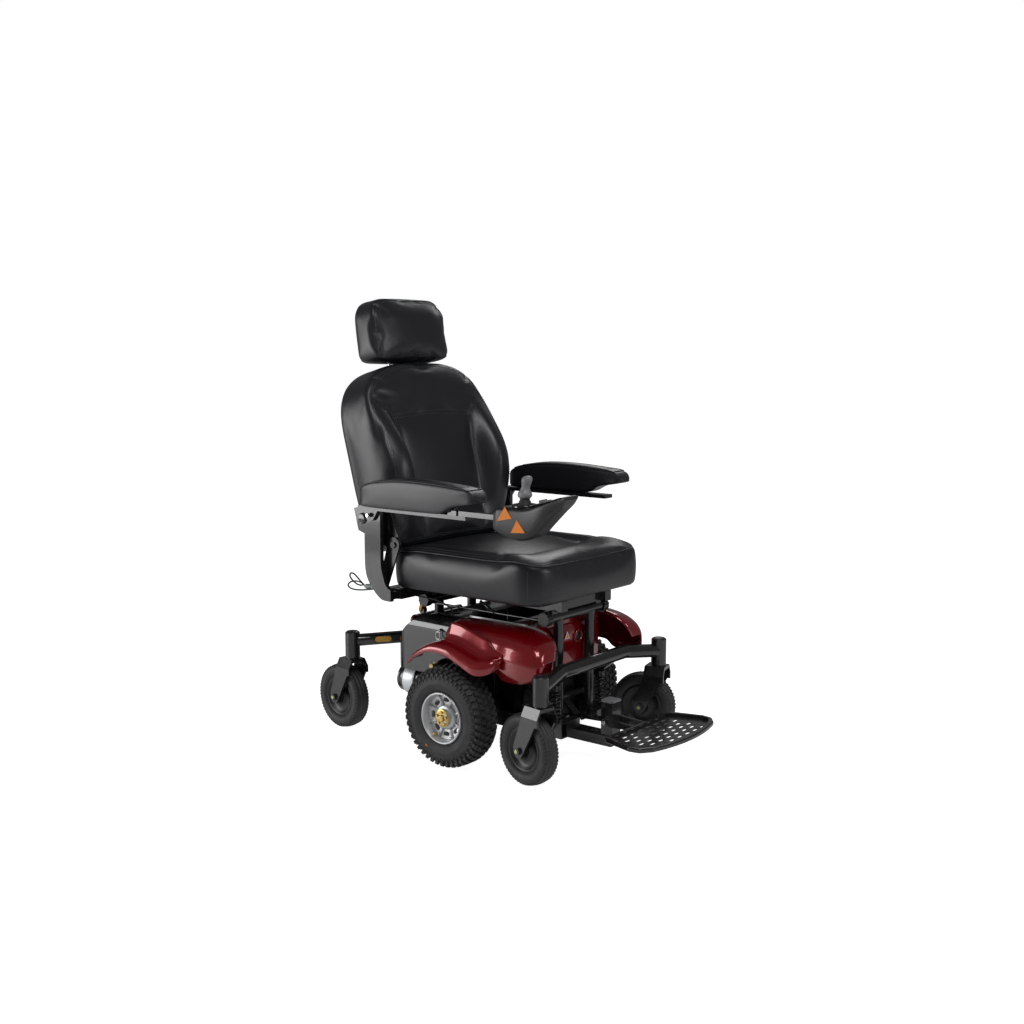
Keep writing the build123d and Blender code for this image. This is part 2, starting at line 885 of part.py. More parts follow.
def seat_frame():
    """Seat frame: two rails on the crossbars, armrest receivers, cross rails and the pan."""
    mid = seat_rail_base + seat_rail_height / 2
    rail_ends = (-232.0, 270.0)
    bore = slider_size + 2 * 0.15
    with BuildPart() as frame:
        for x in (-seat_rail_x, seat_rail_x):
            with Locations((x, sum(rail_ends) / 2, mid)):
                Box(seat_rail_width, rail_ends[1] - rail_ends[0], seat_rail_height)
        with Locations((0, front_post_y - 10, mid)):
            Box(2 * seat_rail_x, 26, seat_rail_height)
        with Locations((0, slider_y, mid)):
            Box(2 * receiver_outer_x, slider_size + 6, seat_rail_height)
        with Locations((0, 254, mid + 4)):
            Box(2 * hinge_plate_x, 28, 12)
        with Locations((0, 0, seat_base - seat_pan_wall / 2)):
            Box(2 * seat_half_width - 60, 460, seat_pan_wall)
        for x in (-seat_rail_x, seat_rail_x):
            for y in (front_post_y, rear_post_y):
                with Locations((x, y, seat_rail_base - 7)):
                    Box(seat_rail_width, 20, 14)
        for y in (front_post_y, rear_post_y):
            with BuildSketch(Plane.YZ.offset(-crossbar_half)):
                with Locations((y, crossbar_z)):
                    Circle(crossbar_radius)
            extrude(amount=2 * crossbar_half, mode=Mode.SUBTRACT)
        for side in (-1, 1):
            start = side * (receiver_outer_x + receiver_inner_x + 2) / 2
            with Locations((start, slider_y, mid)):
                Box(receiver_outer_x - receiver_inner_x + 2, bore, bore, mode=Mode.SUBTRACT)
    save(frame.part, "seat_frame")


def seat_cushion():
    """Upholstered seat, kept as one plain closed form."""
    with BuildPart() as cushion:
        with BuildSketch(Plane.XY.offset(seat_base)):
            with Locations((0, (seat_front_y + seat_rear_y) / 2)):
                RectangleRounded(
                    2 * seat_half_width, seat_rear_y - seat_front_y, seat_corner
                )
        extrude(amount=seat_thickness)
        fillet(cushion.faces().sort_by(Axis.Z)[-1].edges(), 26)
        fillet(cushion.faces().sort_by(Axis.Z)[0].edges(), 14)
    save(cushion.part, "seat_cushion")


def backrest_hinges():
    """Hinge plates beside the seat, each with its pivot pin."""
    made = []
    for side in (-1, 1):
        with BuildPart() as hinge:
            with BuildSketch(Plane.YZ.offset(side * hinge_plate_x)):
                with Locations((hinge_y, hinge_z)):
                    Circle(20)
                with Locations((254, seat_rail_base + 17)):
                    Rectangle(28, 12)
                make_hull()
            extrude(amount=side * hinge_plate_wall)
            with BuildSketch(Plane.YZ.offset(side * (hinge_plate_x - 8))):
                with Locations((hinge_y, hinge_z)):
                    Circle(hinge_pin / 2)
            extrude(amount=side * 9)
            with BuildSketch(Plane.YZ.offset(side * (hinge_plate_x + hinge_plate_wall))):
                with Locations((hinge_y, hinge_z)):
                    RegularPolygon(9, 6)
            extrude(amount=side * 4)
            if side > 0:
                with BuildSketch(Plane.YZ.offset(hinge_plate_x + 1)):
                    with Locations((recline_y, recline_z)):
                        Circle(recline_pin / 2)
                extrude(amount=14)
        made.append(hinge.part)
    save(Compound(children=made), "backrest_hinges")


recline_y = 240.0
recline_z = 462.0
recline_pin = 8.0


def recline_lever():
    """Lever on the left hinge that frees the backrest."""
    near = hinge_plate_x + hinge_plate_wall + 0.5
    with BuildPart() as lever:
        with BuildSketch(Plane.YZ.offset(near)):
            with Locations((recline_y, recline_z)):
                Circle(11)
            with Locations((recline_y - 96, recline_z - 4)):
                Circle(8)
            make_hull()
        extrude(amount=5)
        with BuildSketch(Plane.YZ.offset(near - 1)):
            with Locations((recline_y, recline_z)):
                Circle(recline_pin / 2 + pin_clearance)
        extrude(amount=8, mode=Mode.SUBTRACT)
        with BuildSketch(Plane.YZ.offset(near - 2)):
            with Locations((recline_y - 100, recline_z - 4)):
                SlotOverall(52, 22)
        extrude(amount=9)
    save(lever.part, "recline_lever")


def back_outline(inset):
    """Outline of the backrest in its own plane, pulled in evenly."""
    wide = back_half_width - inset
    top = back_top - inset
    foot = back_bottom + inset
    with BuildSketch() as outline:
        with BuildLine():
            half = Spline(
                (0, top),
                (88, top - 2),
                (152, top - 22),
                (wide - 38, top - 58),
                (wide - 11, top - 118),
                (wide, top - 210),
                (wide - 1, 150),
                (wide - 8, foot),
                tangents=((1, 0), (-0.12, -1)),
            )
            mirror(half, Plane.YZ)
            Line(half @ 1, (-(wide - 8), foot))
        make_face()
    return outline.sketch


def back_frame():
    """Rear panel of the backrest with an arm down each side to the hinge."""
    near = hinge_plate_x - 1
    arm_wall = 5
    with BuildPart() as frame:
        with BuildSketch(back_plane.offset(-back_depth)):
            add(back_outline(14))
        extrude(amount=-back_panel_wall)
        for side in (-1, 1):
            arm_plane = Plane(
                origin=(side * near, hinge_y, hinge_z),
                x_dir=(0, math.cos(lean), -math.sin(lean)),
                z_dir=(1, 0, 0),
            )
            with BuildSketch(arm_plane):
                Circle(18)
                with Locations((62, 92)):
                    Rectangle(108 + 2 * back_panel_wall, 60)
                make_hull()
            extrude(amount=-side * arm_wall)
            with BuildSketch(arm_plane.offset(side)):
                Circle(hinge_pin / 2 + pin_clearance)
            extrude(amount=-side * (arm_wall + 2), mode=Mode.SUBTRACT)
            reach = near - 150
            with BuildSketch(back_plane.offset(-back_depth)):
                with Locations((side * (near - reach / 2), 92)):
                    Rectangle(reach, 60)
            extrude(amount=-back_panel_wall)
        for x in (-headrest_post_x, headrest_post_x):
            bore = post_bar(x, headrest_post_radius + 1, bore_start, headrest_post_length + 80)
            add(bore, mode=Mode.SUBTRACT)
    save(frame.part, "back_frame")


headrest_depth_at = 62.0
headrest_post_length = 190.0
bore_start = back_top - headrest_post_length - 40
post_plane = Plane(
    origin=(0, hinge_y, hinge_z),
    x_dir=(1, 0, 0),
    z_dir=(0, math.sin(lean), math.cos(lean)),
)


def post_bar(x, radius, start, length):
    """A round bar along a headrest post's line, as a post or as the hole it slides in."""
    with BuildPart() as bar:
        with BuildSketch(post_plane.offset(start)):
            with Locations((x, headrest_depth_at)):
                Circle(radius)
        extrude(amount=length)
    return bar.part


def back_cushion():
    """Upholstered backrest with a bolster down each side, as one closed form."""
    with BuildPart() as cushion:
        with BuildSketch(back_plane.offset(-back_depth + 0.3)):
            add(back_outline(0))
        extrude(amount=back_depth - 0.3)
        for side in (-1, 1):
            for rise, pull in ((0, 0), (bolster_depth, bolster_pull)):
                with BuildSketch(back_plane.offset(rise)):
                    with BuildLine():
                        Polyline(
                            (side * (142 + pull), 50 + pull),
                            (side * (136 + pull), 220),
                            (side * (160 + pull), 350 - 2 * pull),
                            (side * (210 - pull / 2), 386 - 3 * pull),
                            (side * (234 - pull / 2), 280),
                            (side * (234 - pull / 2), 120),
                            (side * (226 - pull / 2), 40 + pull),
                            close=True,
                        )
                    make_face()
            loft()
        for x in (-headrest_post_x, headrest_post_x):
            bore = post_bar(x, headrest_post_radius + 1, bore_start, headrest_post_length + 80)
            add(bore, mode=Mode.SUBTRACT)
    save(cushion.part, "back_cushion")


def headrest_posts():
    start = back_top - headrest_post_length + 20
    made = [
        post_bar(x, headrest_post_radius, start, headrest_post_length + 30)
        for x in (-headrest_post_x, headrest_post_x)
    ]
    save(Compound(children=made), "headrest_posts")


def headrest_pad():
    """Head cushion, one rounded closed form, a little more upright than the backrest."""
    tilt = math.radians(9)
    foot_y = hinge_y + back_top * math.sin(lean) + headrest_depth_at * math.cos(lean)
    foot_z = hinge_z + back_top * math.cos(lean) - headrest_depth_at * math.sin(lean) + 18
    plane = Plane(
        origin=(0, foot_y, foot_z),
        x_dir=(1, 0, 0),
        z_dir=(0, math.sin(tilt), math.cos(tilt)),
    )
    with BuildPart() as pad:
        with BuildSketch(plane):
            Rectangle(2 * headrest_half_width, headrest_depth)
        extrude(amount=headrest_height)
        fillet(pad.edges(), 26)
        for x in (-headrest_post_x, headrest_post_x):
            add(post_bar(x, headrest_post_radius, back_top, 52), mode=Mode.SUBTRACT)
    save(pad.part, "headrest_pad")


# ---------------------------------------------------------------- armrests
def arm_post(side, label):
    """Flat post with a curved foot and the square bar that slides into the seat frame."""
    near = arm_post_x - arm_post_wall / 2
    front = arm_pivot_y - arm_post_depth / 2
    rear = arm_pivot_y + arm_post_depth / 2
    with BuildPart() as post:
        with BuildSketch(Plane.YZ.offset(side * near)):
            with BuildLine():
                Polyline(
                    (front, arm_pivot_z + 18),
                    (front + 12, arm_pivot_z + 26),
                    (rear - 12, arm_pivot_z + 26),
                    (rear, arm_pivot_z + 18),
                    (rear, 500),
                )
                Spline(
                    (rear, 500),
                    (rear - 12, 446),
                    (slider_y + 30, slider_z - 6),
                    (slider_y, slider_z - 14),
                    tangents=((0, -1), (-1, 0)),
                )
                Polyline(
                    (slider_y, slider_z - 14),
                    (slider_y - 13, slider_z - 14),
                    (slider_y - 13, slider_z + 16),
                )
                Spline(
                    (slider_y - 13, slider_z + 16),
                    (front - 8, 462),
                    (front, 500),
                    tangents=((1, 0.2), (0, 1)),
                )
                Line((front, 500), (front, arm_pivot_z + 18))
            make_face()
        extrude(amount=side * arm_post_wall)
        with Locations((side * (near + slider_inner_x) / 2, slider_y, slider_z)):
            Box(near - slider_inner_x + 2, slider_size, slider_size)
        with BuildSketch(Plane.YZ.offset(side * (near - 6))):
            with Locations((arm_pivot_y, arm_pivot_z)):
                RegularPolygon(10, 6)
        extrude(amount=side * 6)
        with BuildSketch(Plane.YZ.offset(side * (near + 1))):
            with Locations((arm_pivot_y, arm_pivot_z)):
                Circle(arm_pin / 2)
        extrude(amount=side * (arm_post_wall + arm_gap + 8))
        with BuildSketch(Plane.YZ.offset(side * (near - 5))):
            with Locations((rear + 4, arm_pivot_z - 12)):
                Circle(12)
        extrude(amount=side * (arm_post_wall + 5))
    save(post.part, label)


def arm_bar(side, label):
    """Steel bar under the arm pad, with the lug that turns on the post's pin."""
    with BuildPart() as bar:
        with BuildSketch(Plane.YZ.offset(side * arm_inner_x)):
            with Locations((arm_pivot_y, arm_pivot_z)):
                Circle(16)
            with Locations((arm_pivot_y - 8, pad_base - 5)):
                Rectangle(48, 10)
            make_hull()
        extrude(amount=side * 7)
        with Locations((side * (arm_inner_x + 18), (arm_pivot_y - 95) / 2 + 8, pad_base - 5)):
            Box(36, arm_pivot_y + 95 + 12, 10)
        with BuildSketch(Plane.YZ.offset(side * (arm_inner_x - 1))):
            with Locations((arm_pivot_y, arm_pivot_z)):
                Circle(arm_pin / 2 + pin_clearance)
        extrude(amount=side * 10, mode=Mode.SUBTRACT)
    save(bar.part, label)


def arm_pad(side, label):
    """Padded armrest, deepest at the elbow and tapered to the front."""
    with BuildPart() as pad:
        with BuildSketch(Plane.YZ.offset(side * arm_inner_x)):
            with BuildLine():
                Spline(
                    (pad_rear_y, 688),
                    (pad_rear_y - 20, 704),
                    (80, 728),
                    (-112, 719),
                    (pad_front_y, 702),
                    tangents=((0, 1), (0, -1)),
                )
                Polyline(
                    (pad_front_y, 702),
                    (-132, 684),
                    (-60, 668),
                    (-30, pad_base + 14),
                    (-18, pad_base),
                    (pad_rear_y - 8, pad_base),
                    (pad_rear_y, 660),
                    (pad_rear_y, 688),
                )
            make_face()
        extrude(amount=side * pad_width)
    save(pad.part, label)


# ---------------------------------------------------------------- joystick control
def control_rod():
    """Square rod that carries the joystick unit in front of the right armrest."""
    with BuildPart() as rod:
        with Locations((control_x, -112, pad_base + 6)):
            Box(12, 152, 12)
        with Locations((control_x, -60, pad_base + 6)):
            Box(20, 16, 12)
    save(rod.part, "control_rod")


panel_start = (-292.0, 689.6)
panel_end = (-398.0, 718.7)
panel_slope = math.atan2(panel_end[1] - panel_start[1], panel_start[0] - panel_end[0])
panel_plane = Plane(
    origin=(control_x, panel_start[0], panel_start[1]),
    x_dir=(1, 0, 0),
    z_dir=(0, math.sin(panel_slope), math.cos(panel_slope)),
)
panel_length = math.hypot(panel_start[0] - panel_end[0], panel_end[1] - panel_start[1])
button_radius = 5.0
button_travel = 1.5
button_places = {"power_button": (-15, -66), "horn_button": (15, -66)}
dial_place = (0, -36)
dial_radius = 10.0


def control_case():
    """Keel-shaped housing of the joystick unit, with the pocket for the stick and buttons."""
    with BuildPart() as case:
        with BuildSketch(Plane.YZ.offset(control_x - control_width / 2)):
            with BuildLine():
                Polyline(
                    (-209, 688),
                    (-195, 630),
                    (-228, 615),
                    (-272, 607),
                    (-318, 620),
                    (-346, 647),
                    (-380, 681),
                    (-405, 709),
                    (-404, 718),
                    panel_end,
                    panel_start,
                    close=True,
                )
            make_face()
        extrude(amount=control_width)
        keel = [edge for edge in case.edges() if edge.center().Z < 700]
        keel = [edge for edge in keel if abs(abs(edge.center().X + pad_x) - control_width / 2) < 0.1]
        low = [edge for edge in keel if edge.center().Z < 668 and edge.center().Y < -205]
        fillet(low, 12)
        with BuildSketch(Plane.XY.offset(gimbal_z - pocket_depth)):
            with Locations((control_x, stick_y)):
                Circle(pocket_radius)
        extrude(amount=60, mode=Mode.SUBTRACT)
        with BuildSketch(Plane.YZ.offset(control_x - pocket_radius - 4)):
            with Locations((stick_y, gimbal_z)):
                Circle(1.5 + pin_clearance)
        extrude(amount=2 * pocket_radius + 8, mode=Mode.SUBTRACT)
        for place in button_places.values():
            with BuildSketch(panel_plane.offset(-8)):
                with Locations(place):
                    Circle(button_radius + 0.3)
            extrude(amount=20, mode=Mode.SUBTRACT)
        with BuildSketch(panel_plane.offset(-8)):
            with Locations(dial_place):
                Circle(3 + pin_clearance)
        extrude(amount=20, mode=Mode.SUBTRACT)
        with Locations((control_x, -190, pad_base + 6)):
            Box(12, 30, 12, mode=Mode.SUBTRACT)
    save(case.part, "control_case")


def control_panel():
    """Thin key plate on the front of the joystick unit, drilled for its buttons and dial."""
    with BuildPart() as panel:
        with BuildSketch(panel_plane):
            with Locations((0, -panel_length / 2 - 5)):
                RectangleRounded(control_width - 8, panel_length - 14, 8)
            for place in button_places.values():
                with Locations(place):
                    Circle(button_radius + 0.3, mode=Mode.SUBTRACT)
            with Locations(dial_place):
                Circle(3 + pin_clearance, mode=Mode.SUBTRACT)
        extrude(amount=2)
    save(panel.part, "control_panel")


def panel_button(label, place):
    with BuildPart() as button:
        with BuildSketch(panel_plane.offset(-4)):
            with Locations(place):
                Circle(button_radius)
        extrude(amount=9)
        fillet(button.faces().sort_by(Axis.Z)[-1].edges(), 1.2)
    save(button.part, label)


def speed_dial():
    with BuildPart() as dial:
        with BuildSketch(panel_plane.offset(2.2)):
            with Locations(dial_place):
                Circle(dial_radius)
                with PolarLocations(dial_radius, 14):
                    Circle(1, mode=Mode.SUBTRACT)
        extrude(amount=7)
        with BuildSketch(panel_plane.offset(-5)):
            with Locations(dial_place):
                Circle(3)
        extrude(amount=8)
    save(dial.part, "speed_dial")


def joystick_gimbal():
    """Ring that rocks fore and aft on two pins in the case."""
    with BuildPart() as ring:
        with BuildSketch(Plane.XY.offset(gimbal_z - 2)):
            with Locations((control_x, stick_y)):
                Circle(15)
                Circle(9, mode=Mode.SUBTRACT)
        extrude(amount=4)
        for side in (-1, 1):
            with BuildSketch(Plane.YZ.offset(control_x + side * 13)):
                with Locations((stick_y, gimbal_z)):
                    Circle(1.5)
            extrude(amount=side * (pocket_radius - 10))
        with BuildSketch(Plane.XZ.offset(-stick_y - 20)):
            with Locations((control_x, gimbal_z)):
                Circle(1.2 + pin_clearance)
        extrude(amount=40, mode=Mode.SUBTRACT)
    save(ring.part, "joystick_gimbal")


def joystick_stick():
    """Stick: a pivot ball and shaft under a bulb and a thumb piece."""
    with BuildPart() as stick:
        Sphere(6)
        Cylinder(1.2, 28, rotation=(90, 0, 0))
        with BuildSketch(Plane.XZ):
            with BuildLine():
                Polyline((0, 0), (4, 0), (4, 33), (15, 35), (17, 41))
                Spline(
                    (17, 41),
                    (13, 50),
                    (8, 56),
                    (9, 66),
                    (12, 74),
                    (10, 80),
                    (0, stick_height),
                    tangents=((0, 1), (-1, 0)),
                )
                Line((0, stick_height), (0, 0))
            make_face()
        revolve(axis=Axis.Z)
    save(stick.part.moved(Location((control_x, stick_y, gimbal_z))), "joystick_stick")


def joystick_boot():
    """Soft bellows skirt round the stick, which tilts with it inside the pocket."""
    with BuildPart() as boot:
        with BuildSketch(Plane.XZ):
            with BuildLine():
                Polyline(
                    (4.2, 32),
                    (12, 32),
                    (11, 27),
                    (15, 25),
                    (14, 20),
                    (18, 17),
                    (17.5, 13),
                    (21, 9),
                    (19.5, 9),
                    (16, 12.5),
                    (16.5, 16.5),
                    (12.5, 19.5),
                    (13.5, 24),
                    (9.5, 26.5),
                    (10, 30),
                    (4.2, 30),
                    close=True,
                )
            make_face()
        revolve(axis=Axis.Z)
    save(boot.part.moved(Location((control_x, stick_y, gimbal_z))), "joystick_boot")


# ---------------------------------------------------------------- footrest
receiver_rear_y = -170.0


def footrest_bracket():
    """Receiver under the frame, upright post with its grey cap, brace strap and hinge pin."""
    post_mid = foot_hinge_y + 1
    with BuildPart() as bracket:
        with Locations((0, (receiver_rear_y + foot_hinge_y - 16) / 2, rail_base - 13)):
            Box(48, receiver_rear_y - foot_hinge_y + 16, 26)
        with Locations((0, post_mid, (rail_base - 26 + 164) / 2)):
            Box(2 * foot_post_half, 34, 164 - rail_base + 26)
        with BuildSketch(Plane.YZ.offset(-12.5)):
            with BuildLine():
                Polyline(
                    (strap_y - 6, strap_z + 2),
                    (-203, 112),
                    (foot_hinge_y + 16, 116),
                    (foot_hinge_y + 16, 110),
                    (-206, 106),
                    (strap_y - 9, strap_z - 5),
                    close=True,
                )
            make_face()
        extrude(amount=25)
        with BuildSketch(Plane.YZ.offset(-20)):
            with Locations((strap_y, strap_z)):
                Circle(9)
        extrude(amount=40, mode=Mode.SUBTRACT)
        with BuildSketch(Plane.YZ.offset(-foot_post_half - 12)):
            with Locations((foot_hinge_y, foot_hinge_z)):
                Circle(foot_pin / 2)
        extrude(amount=2 * foot_post_half + 24)
        with Locations((0, post_mid, 166)):
            Box(2 * foot_post_half + 3, 37, 4)
    save(bracket.part, "footrest_bracket")


def foot_outline(inset):
    """Outline of the footplate: narrow behind, widest near the front, with a bowed front."""
    corner = (140 - inset / 2, -527 + inset)
    with BuildSketch() as outline:
        with BuildLine():
            right = Polyline(
                (147 - inset, -389 - inset),
                (173 - inset, -478),
                (168 - inset, -506 + inset / 3),
                corner,
            )
            mirror(right, Plane.YZ)
            ThreePointArc(corner, (0, foot_front_y + inset), (-corner[0], corner[1]))
            Line((147 - inset, -389 - inset), (-147 + inset, -389 - inset))
        make_face()
    return outline.sketch


def footplate():
    """Tubular rim round a slotted tread plate, with two ears on the hinge pin."""
    with BuildPart() as plate:
        with BuildSketch(Plane.XY.offset(foot_z)):
            add(foot_outline(0))
        extrude(amount=foot_rim)
        fillet(plate.edges().filter_by(Axis.Z), 14)
        fillet(plate.faces().sort_by(Axis.Z)[-1].edges(), 4)
        fillet(plate.faces().sort_by(Axis.Z)[0].edges(), 4)
        with BuildSketch(Plane.XY.offset(foot_z + 4)):
            add(foot_outline(foot_rim))
        extrude(amount=30, mode=Mode.SUBTRACT)
        with BuildSketch(Plane.XY.offset(foot_z - 1)):
            add(foot_outline(foot_rim))
        extrude(amount=2, mode=Mode.SUBTRACT)
        with BuildSketch(Plane.XY.offset(foot_z - 1)):
            for row in range(6):
                with Locations((0, -413 - row * 20)):
                    with GridLocations(36, 1, 6 + row % 2, 1):
                        SlotOverall(24, 9)
        extrude(amount=20, mode=Mode.SUBTRACT)
        for side in (-1, 1):
            inner = side * (foot_post_half + 1.5)
            with BuildSketch(Plane.YZ.offset(inner)):
                with Locations((foot_hinge_y, foot_hinge_z)):
                    Circle(10)
                with Locations((-392, foot_z + 6)):
                    Rectangle(12, 12)
                make_hull()
            extrude(amount=side * 8)
            with BuildSketch(Plane.YZ.offset(inner - side)):
                with Locations((foot_hinge_y, foot_hinge_z)):
                    Circle(foot_pin / 2 + pin_clearance)
            extrude(amount=side * 10, mode=Mode.SUBTRACT)
    save(plate.part, "footplate")


# ---------------------------------------------------------------- joystick lead
lead_route = [
    (-130.0, 98.0, 349.0),
    (-131.0, 108.0, 365.0),
    (-134.0, 130.0, 379.0),
    (-138.0, 165.0, 389.0),
    (-146.0, 203.0, 392.0),
    (-162.0, 238.0, 398.0),
    (-182.0, 268.0, 406.0),
    (-194.0, 281.0, 413.0),
    (-203.0, 294.0, 417.0),
    (-205.0, 314.0, 416.5),
    (-207.0, 336.0, 414.0),
    (-209.0, 358.0, 412.0),
    (-213.0, 368.0, 423.0),
    (-217.0, 378.0, 435.0),
    (-220.0, 388.0, 445.0),
    (-223.0, 398.0, 447.0),
    (-225.0, 401.0, 439.0),
    (-225.0, 394.0, 430.0),
    (-224.0, 383.0, 422.0),
    (-221.0, 373.0, 416.5),
    (-214.0, 367.0, 414.0),
    (-205.0, 368.0, 414.5),
    (-199.0, 376.0, 416.5),
    (-197.0, 391.0, 419.0),
    (-198.0, 408.0, 419.5),
    (-200.0, 423.0, 416.0),
    (-203.0, 431.0, 408.5),
    (-206.0, 425.0, 401.5),
    (-209.0, 409.0, 398.5),
    (-212.0, 388.0, 399.0),
    (-215.0, 362.0, 402.0),
    (-217.0, 334.0, 407.0),
    (-218.0, 303.0, 413.0),
    (-218.0, 268.0, 413.0),
]
plug_start = lead_route[8]
plug_end = lead_route[11]


def lead_radii(points):
    """The largest arc at each corner that its two runs leave room for."""
    radii = []
    for before, corner, after in zip(points, points[1:], points[2:]):
        coming = Vector(*corner) - Vector(*before)
        going = Vector(*after) - Vector(*corner)
        turn = math.radians(coming.get_angle(going))
        shorter = min(coming.length, going.length)
        radii.append(0.45 * shorter / math.tan(turn / 2))
    return radii


def joystick_lead():
    """Lead from the joystick unit: out of the base, through its connector, to the seat."""
    radii = lead_radii(lead_route)
    print("lead radii", [round(radius, 1) for radius in radii])
    plug_run = Vector(*plug_end) - Vector(*plug_start)
    with BuildPart() as plug:
        with BuildSketch(Plane(origin=plug_start, z_dir=tuple(plug_run))):
            Circle(plug_radius)
        extrude(amount=plug_run.length)
    with BuildPart() as lead:
        with BuildLine() as path:
            FilletPolyline(*lead_route, radius=radii)
        with BuildSketch(Plane(origin=path.line @ 0, z_dir=path.line % 0)):
            Circle(lead_diameter / 2)
        sweep(path=path.line)
        length = sum(edge.length for edge in path.line.edges())
        whole = lead.part.volume
        add(plug.part, mode=Mode.SUBTRACT)
    section = math.pi * lead_diameter**2 / 4
    print("lead length", round(length, 1), "volume ratio", round(whole / section / length, 4))
    save(lead.part, "joystick_lead")
    save(plug.part, "lead_connector")


# ---------------------------------------------------------------- build everything
caster_places = {
    "front_right": (-front_stem_x, front_stem_y, -10.0),
    "front_left": (front_stem_x, front_stem_y, 15.0),
    "rear_right": (-rear_stem_x, rear_stem_y, -6.0),
    "rear_left": (rear_stem_x, rear_stem_y, 4.0),
}


def build_all():
    for side, name in ((-1, "right"), (1, "left")):
        drive_tyre(side, f"drive_tyre_{name}")
        drive_rim(side, f"drive_rim_{name}")
        freewheel_lever(side, f"freewheel_lever_{name}")
        side_cover(side, f"side_cover_{name}")
        arm_post(side, f"arm_post_{name}")
        arm_bar(side, f"arm_bar_{name}")
        arm_pad(side, f"arm_pad_{name}")
    for name, (x, y, swivel) in caster_places.items():
        place = caster_place(x, y, swivel)
        caster_tyre(place, f"caster_tyre_{name}")
        caster_rim(place, f"caster_rim_{name}")
        caster_fork(place, f"caster_fork_{name}")
    front_beam()
    rear_beam()
    front_springs()
    chassis_frame()
    batteries()
    power_module()
    gearmotors()
    front_cover()
    rear_cover()
    rear_hoop()
    seat_tower()
    seat_release_lever()
    end_knobs()
    seat_frame()
    seat_cushion()
    backrest_hinges()
    recline_lever()
    back_frame()
    back_cushion()
    headrest_posts()
    headrest_pad()
    control_rod()
    control_case()
    control_panel()
    for label, place in button_places.items():
        panel_button(label, place)
    speed_dial()
    joystick_gimbal()
    joystick_stick()
    joystick_boot()
    footrest_bracket()
    footplate()
    joystick_lead()


build_all()
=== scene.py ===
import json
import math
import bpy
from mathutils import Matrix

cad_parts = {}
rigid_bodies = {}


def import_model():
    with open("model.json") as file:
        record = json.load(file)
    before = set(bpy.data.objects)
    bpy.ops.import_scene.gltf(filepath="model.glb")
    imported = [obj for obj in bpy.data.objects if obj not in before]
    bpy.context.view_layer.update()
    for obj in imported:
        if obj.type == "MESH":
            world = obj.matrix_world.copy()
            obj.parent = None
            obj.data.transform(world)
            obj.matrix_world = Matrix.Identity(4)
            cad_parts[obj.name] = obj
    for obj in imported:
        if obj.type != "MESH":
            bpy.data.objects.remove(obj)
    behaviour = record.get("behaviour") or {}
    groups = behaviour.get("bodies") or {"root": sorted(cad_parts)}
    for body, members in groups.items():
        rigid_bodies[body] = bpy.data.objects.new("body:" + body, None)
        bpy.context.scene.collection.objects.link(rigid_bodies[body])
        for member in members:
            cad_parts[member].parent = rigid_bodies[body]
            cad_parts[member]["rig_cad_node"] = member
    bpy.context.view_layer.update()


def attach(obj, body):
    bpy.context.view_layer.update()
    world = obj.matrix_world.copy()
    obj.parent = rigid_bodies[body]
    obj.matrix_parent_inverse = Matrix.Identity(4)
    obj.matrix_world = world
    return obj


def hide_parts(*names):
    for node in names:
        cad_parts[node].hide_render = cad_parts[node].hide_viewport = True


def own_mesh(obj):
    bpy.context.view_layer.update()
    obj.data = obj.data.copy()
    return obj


bl_info = {
    "name": "Power wheelchair looks",
    "version": (1, 0, 0),
    "blender": (4, 5, 0),
    "location": "3D View > Sidebar > Wheelchair",
    "description": "Builds the visible form of a power wheelchair round its packed CAD parts",
    "category": "Object",
}

import bpy
from bpy.props import FloatProperty, IntProperty, PointerProperty
from mathutils import Matrix, Vector
from mathutils.bvhtree import BVHTree

MM = 0.001
FRONT_RIGHT, FRONT_LEFT = "front_right", "front_left"
REAR_RIGHT, REAR_LEFT = "rear_right", "rear_left"
SIDES = {"left": 1, "right": -1}

# caster stems and how far each fork is turned, in mm and degrees
CASTERS = {
    FRONT_RIGHT: (-261.0, -284.5, -10.0),
    FRONT_LEFT: (261.0, -284.5, 15.0),
    REAR_RIGHT: (-202.0, 417.0, -6.0),
    REAR_LEFT: (202.0, 417.0, 4.0),
}
# where the wheels, motors, springs, arm pads and stick stand, in mm, and how far a caster trails its stem
DRIVE_X, DRIVE_Z = 264.3, 130
TRAIL, CASTER_Z = 42, 90
MOTOR_X, MOTOR_Z = 150, 166
SPRING_X, SPRING_Y, COIL_RADIUS = 97, -207, 10.5
ARM_X = 306
CONTROL_X, STICK_Y, GIMBAL_Z = -306, -272, 676
LEAN = math.radians(15.5)
BACK_ORIGIN = Vector((0, 207, 545))
BACK_UP = Vector((0, math.sin(LEAN), math.cos(LEAN)))
BACK_FRONT = Vector((0, -math.cos(LEAN), math.sin(LEAN)))
HEAD_TILT = math.radians(9)

